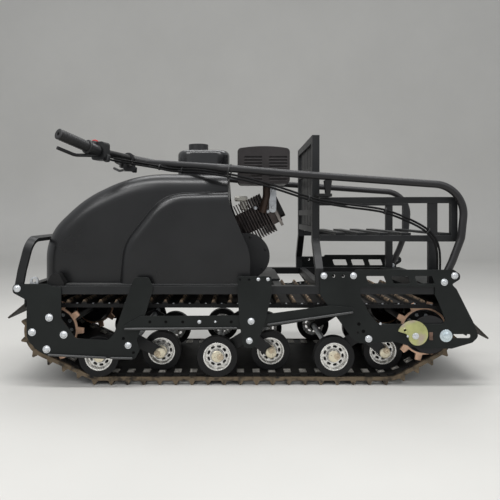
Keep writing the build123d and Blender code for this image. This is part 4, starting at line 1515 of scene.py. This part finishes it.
@dataclass
class Controls:
    """Ribs and end caps of the grips, the switch blocks and lever perches."""

    inner: Point = (-471.0, -240.0, 758.0)
    outer: Point = (-546.0, -360.0, 791.0)
    ribs: int = 11
    # Distances along the grip from its inner end, and of tip and hole past its outer end
    first_rib: float = 44.0
    rib_step: float = 9.0
    flange_at: float = 33.0
    perch_at: float = 8.0
    tip_past: float = 0.2
    hole_past: float = 0.1
    rib: Rows = ((16.3, 1.4), (17.2, 1.0), (17.4, 0), (17.2, -1.0), (16.3, -1.4), (16.3, 1.4))
    flange: Rows = ((12, 3.4), (21, 3.2), (22.6, 1.6), (22.6, -2.4), (21, -3.6), (12, -3.8), (12, 3.4))
    tip: Rows = ((5.2, 0.6), (7.2, 1.6), (14.4, 1.4), (16.9, 0), (16.9, -3), (5.2, -3), (5.2, 0.6))
    hole: Rows = ((0, 0.3), (5.4, 0.3), (5.4, -1))
    perch: Rows = (
        (11.6, 20), (16, 20), (18.4, 18), (19, 14), (19, -14), (18.4, -18), (16, -20), (11.6, -20),
        (11.6, 20),
    )
    bolt: Rows = ((0, 4.2), (3.6, 4.0), (5.2, 2.4), (5.6, 0), (5.6, -2))
    # Lever bolt's place ahead of, above and outside the grip's inner end
    bolt_at: Point = (30, -2, -4)

    def way(self, side: int) -> tuple[Vector, Vector]:
        """Find one grip's line.

        Args:
            side: -1 for the left grip, 1 for the right one.

        Returns:
            Its inner end, and the reach from there to its outer end.
        """
        start, end = (Vector((x, -side * y, z)) for x, y, z in (self.inner, self.outer))
        return start, end - start

    def grips(self) -> None:
        """Make what sits round the grips."""
        length = self.way(1)[1].length
        rows = (
            ("grip_ribs", self.rib, 32, [self.first_rib + i * self.rib_step for i in range(self.ribs)],
             Finishes.GRIP),
            ("grip_flanges", self.flange, 36, [self.flange_at], Finishes.GRIP),
            ("grip_tips", self.tip, 32, [length + self.tip_past], Finishes.GRIP),
            # Black disc inside the grip's tip: painted shade in its end hole
            ("grip_holes", self.hole, 20, [length + self.hole_past], Finishes.PAINTED_SHADE),
            ("lever_perches", self.perch, 32, [self.perch_at], Finishes.BAR),
        )
        for name, profile, segments, distances, finish in rows:
            spots = []
            for side in BOTH_SIDES:
                start, reach = self.way(side)
                out = reach.normalized()
                spots += [Spot(at(*(start + out * distance)), out) for distance in distances]
            set_copies(name, lathe(name, profile, segments), spots, finish, Body.TILLER)

    def switch_block(self, side: int, word: str) -> None:
        """Switch housing on the pod with its rocker, the red one on the left.

        Args:
            side: -1 for the left pod, 1 for the right one.
            word: The side's name.
        """
        start, reach = self.way(side)
        out = reach.normalized()
        across = out.cross(Vector((0, 0, 1))).normalized()
        up = across.cross(out).normalized()
        turn = Matrix((across, out, up)).transposed().to_4x4()
        ahead = across if across.x < 0 else -across
        rocker = Finishes.RED if side < 0 else Finishes.CAP
        # columns: name, size, place ahead of, above and outside the grip's inner end, edge radius, finish
        rows = (
            ("switch_block_", (36, 30, 40), (24, 14, -10), 6.0, Finishes.PLASTIC),
            ("switch_rocker_", (16, 14, 9), (20, 35, -10), 2.4, rocker),
            ("cable_gland_", (20, 15, 24), (-12, -14, -44), 4.0, Finishes.PLASTIC),
            ("pivot_block_", (26, 22, 12), (24, -8, -4), 3.0, Finishes.BAR),
        )
        for name, size, (front, above, beyond), radius, finish in rows:
            place = start + ahead * front + up * above + out * beyond
            where = Matrix.Translation(at(*place)) @ turn
            piece(name + word, rounded_box(name + word, size, radius, 3, where), finish, Body.TILLER)
        front, above, beyond = self.bolt_at
        spot = Spot(at(*(start + ahead * front + up * above + out * beyond)), up)
        bolt = lathe("lever_bolt_" + word, self.bolt, 18)
        set_copies("lever_bolts_" + word, bolt, [spot], Finishes.STEEL, Body.TILLER)

    def build(self) -> None:
        """Dress both ends of the handlebar."""
        self.switch_block(-1, "left")
        self.switch_block(1, "right")
        self.grips()


@dataclass
class EngineTrim:
    """Small castings, bolts and brackets on the engine's left side."""

    # Distances of the bolted faces from the machine's middle
    fin_face: float = 95.6
    bracket_face: float = 99.0
    cover_face: float = 165.0
    # columns: x, z, radius of each bright bolt on the fins' left side
    fin_bolts: Rows = ((53, 572, 6), (97, 560, 6))
    # columns: x, z, radius of each bolt on the muffler's bracket
    bracket_bolts: Rows = ((113.5, 634, 5.2), (113.5, 574, 6.6))
    # Ring of bolts on the drive cover: centre, radius, number, turn in degrees and size
    cover: tuple[float, float] = (22.0, 408.3)
    cover_ring: float = 66.0
    cover_bolts: int = 6
    cover_turn: float = 20.0
    cover_bolt: float = 4.6
    head: Rows = ((0, 0.62), (0.72, 0.6), (0.84, 0.48), (0.84, 0.14), (1.1, 0.1), (1.15, -0.1))
    # columns: name, size and middle of each pale casting
    castings: tuple[tuple[str, Point, Point], ...] = (
        ("intake_flange", (46, 34, 18), (2, -78, 605)), ("intake_neck", (28, 24, 40), (12, -78, 584)),
    )
    casting_round: float = 5.0
    # Strap on the cylinder head: size, middle, lean in degrees and radius of its edges
    strap: Point = (10, 3.4, 60)
    strap_at: Point = (135, -97.2, 538)
    strap_lean: float = -27.0
    strap_round: float = 1.2

    def build(self) -> None:
        """Make the engine's trim."""
        head = lathe("engine_bolt", self.head, 6)
        bright = [outward(-1, x, self.fin_face, z, r) for x, z, r in self.fin_bolts]
        bright += [outward(-1, x, self.bracket_face, z, r) for x, z, r in self.bracket_bolts]
        set_copies("engine_bolts", head, bright, Finishes.BOLT, Body.CHASSIS)
        dark = []
        for i in range(self.cover_bolts):
            a = math.radians(self.cover_turn + 360 * i / self.cover_bolts)
            x = self.cover[0] + self.cover_ring * math.cos(a)
            z = self.cover[1] + self.cover_ring * math.sin(a)
            dark.append(outward(-1, x, self.cover_face, z, self.cover_bolt, a))
        set_copies("cover_bolts", head, dark, Finishes.IRON, Body.CHASSIS)
        for name, size, place in self.castings:
            casting = rounded_box(name, size, self.casting_round, 3, Matrix.Translation(at(*place)))
            piece(name, casting, Finishes.PALE, Body.CHASSIS)
        where = Matrix.Translation(at(*self.strap_at))
        where @= Matrix.Rotation(math.radians(self.strap_lean), 4, "Y")
        strap = rounded_box("head_strap", self.strap, self.strap_round, 2, where)
        piece("head_strap", strap, Finishes.STRAP, Body.CHASSIS)


@dataclass
class HoodTrim:
    """Lips of the hood along the side rails."""

    lip_y: float = 248.0
    lip_z: float = 325.9
    lip_wide: float = 30.0
    lip_thick: float = 3.0
    lip_round: float = 1.2
    first: float = -560.0
    last: float = -4.0

    def build(self) -> None:
        """Make the lips."""
        size = (self.last - self.first, self.lip_wide, self.lip_thick)
        middle = (self.first + self.last) / 2
        places = (Matrix.Translation(at(middle, side * self.lip_y, self.lip_z)) for side in BOTH_SIDES)
        lips = joined("hood_lips", (rounded_box("lip", size, self.lip_round, 2, where) for where in places))
        piece("hood_lips", lips, Finishes.LIP_HIGHLIT, Body.CHASSIS)


# Stage


@dataclass
class Stage:
    """Floor, backdrop, lamps and camera; floor and lamps are placed in metres."""

    floor: Color = (0.62, 0.61, 0.58)
    # Floor's near end, the sweep's start, radius and steps, top of the wall and half width
    near: float = -6.0
    sweep_at: float = 4.0
    sweep: float = 1.2
    sweep_steps: int = 8
    wall_top: float = 5.0
    wide: float = 9.0
    sky: float = 0.58
    sky_color: Color = (0.95, 0.97, 1.0)
    eye: Point = (0.0, -1860.0, 551.0)
    lens: float = 36.0
    shift: tuple[float, float] = (0.019, -0.072)
    lamps_aim: Point = (0.0, 0.0, 0.3)
    # columns: place, length, width, power in watts
    lamps: tuple[tuple[Point, float, float, float], ...] = (
        ((-0.2, -0.80, 2.2), 2.8, 0.26, 32.0), ((0.2, 0.9, 2.6), 3.0, 0.7, 28.0),
        ((-1.9, -2.2, 2.4), 1.2, 1.2, 20.0), ((2.1, -1.9, 2.2), 1.2, 1.2, 12.0),
    )

    def backdrop(self) -> None:
        """Floor that sweeps up into a wall far behind the machine."""
        profile = [(self.near, 0.0), (self.sweep_at, 0.0)]
        for k in range(1, self.sweep_steps + 1):
            a = FULL_TURN / 4 * k / self.sweep_steps
            profile.append((self.sweep_at + self.sweep * math.sin(a), self.sweep * (1 - math.cos(a))))
        profile.append((self.sweep_at + self.sweep, self.wall_top))
        verts = [(x, y, z) for y, z in profile for x in (-self.wide, self.wide)]
        faces = [(2 * i, 2 * i + 1, 2 * i + 3, 2 * i + 2) for i in range(len(profile) - 1)]
        mesh = bpy.data.meshes.new("backdrop")
        mesh.from_pydata(verts, [], faces)
        made = plain_object("backdrop", mesh)
        mesh.shade_smooth()
        floor = Finish("floor_paint", self.floor, 0.55, mottle=0.03, slow=0.8, fine=60, depth=0.02, edge=0)
        mesh.materials.append(floor.material())

    def light(self) -> None:
        """Soft even light from above and from the sky."""
        world = bpy.data.worlds.new("studio")
        world.use_nodes = True
        sky = {"Color": (*self.sky_color, 1), "Strength": self.sky}
        feed(world.node_tree, world.node_tree.nodes["Background"], sky)
        bpy.context.scene.world = world
        for i, (place, size, wide, power) in enumerate(self.lamps):
            lamp = bpy.data.lights.new(f"lamp_{i}", "AREA")
            lamp.shape = "RECTANGLE"
            lamp.size = size
            lamp.size_y = wide
            lamp.energy = power
            made = plain_object(f"lamp_{i}", lamp)
            made.location = place
            aim = Vector(self.lamps_aim) - Vector(place)
            if size > wide:
                aim.x = 0
            made.rotation_euler = aim.to_track_quat("-Z", "Y").to_euler()

    def camera(self) -> None:
        """Level side view from the photograph's place."""
        data = bpy.data.cameras.new("camera")
        data.lens = self.lens
        data.sensor_width = 36.0
        data.shift_x, data.shift_y = self.shift
        made = plain_object("camera", data)
        made.location = at(*self.eye)
        made.rotation_euler = (math.radians(90), 0, 0)
        bpy.context.scene.camera = made
        bpy.context.scene.view_settings.view_transform = "Standard"

    def build(self) -> None:
        """Set up the whole stage."""
        self.backdrop()
        self.light()
        self.camera()


def dress_nodes(frame: dict) -> None:
    """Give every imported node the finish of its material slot.
    """
    slots = {row["node"]: row["material_slot"] for row in frame["record"]["subparts"]}
    for name, node in frame["nodes"].items():
        finish = SLOT_FINISH[slots[name]]
        if not node.material_slots:
            node.data.materials.append(finish.material())
        for slot in node.material_slots:
            slot.material = finish.material()
        LOG.info("%s wears %s", name, finish.name)


def main() -> None:
    """Load the frame, dress it and build the small parts."""
    logging.basicConfig(level=logging.INFO, format="%(name)s: %(message)s")
    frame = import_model()
    Stage().build()
    cables = Cables()
    cables.build()
    dress_nodes(frame)
    cables.dress()
    for part in (PlateBolts, WheelCaps, TrackFittings, Drive, Controls, EngineTrim, HoodTrim):
        part().build()


if __name__ == "__main__":
    main()
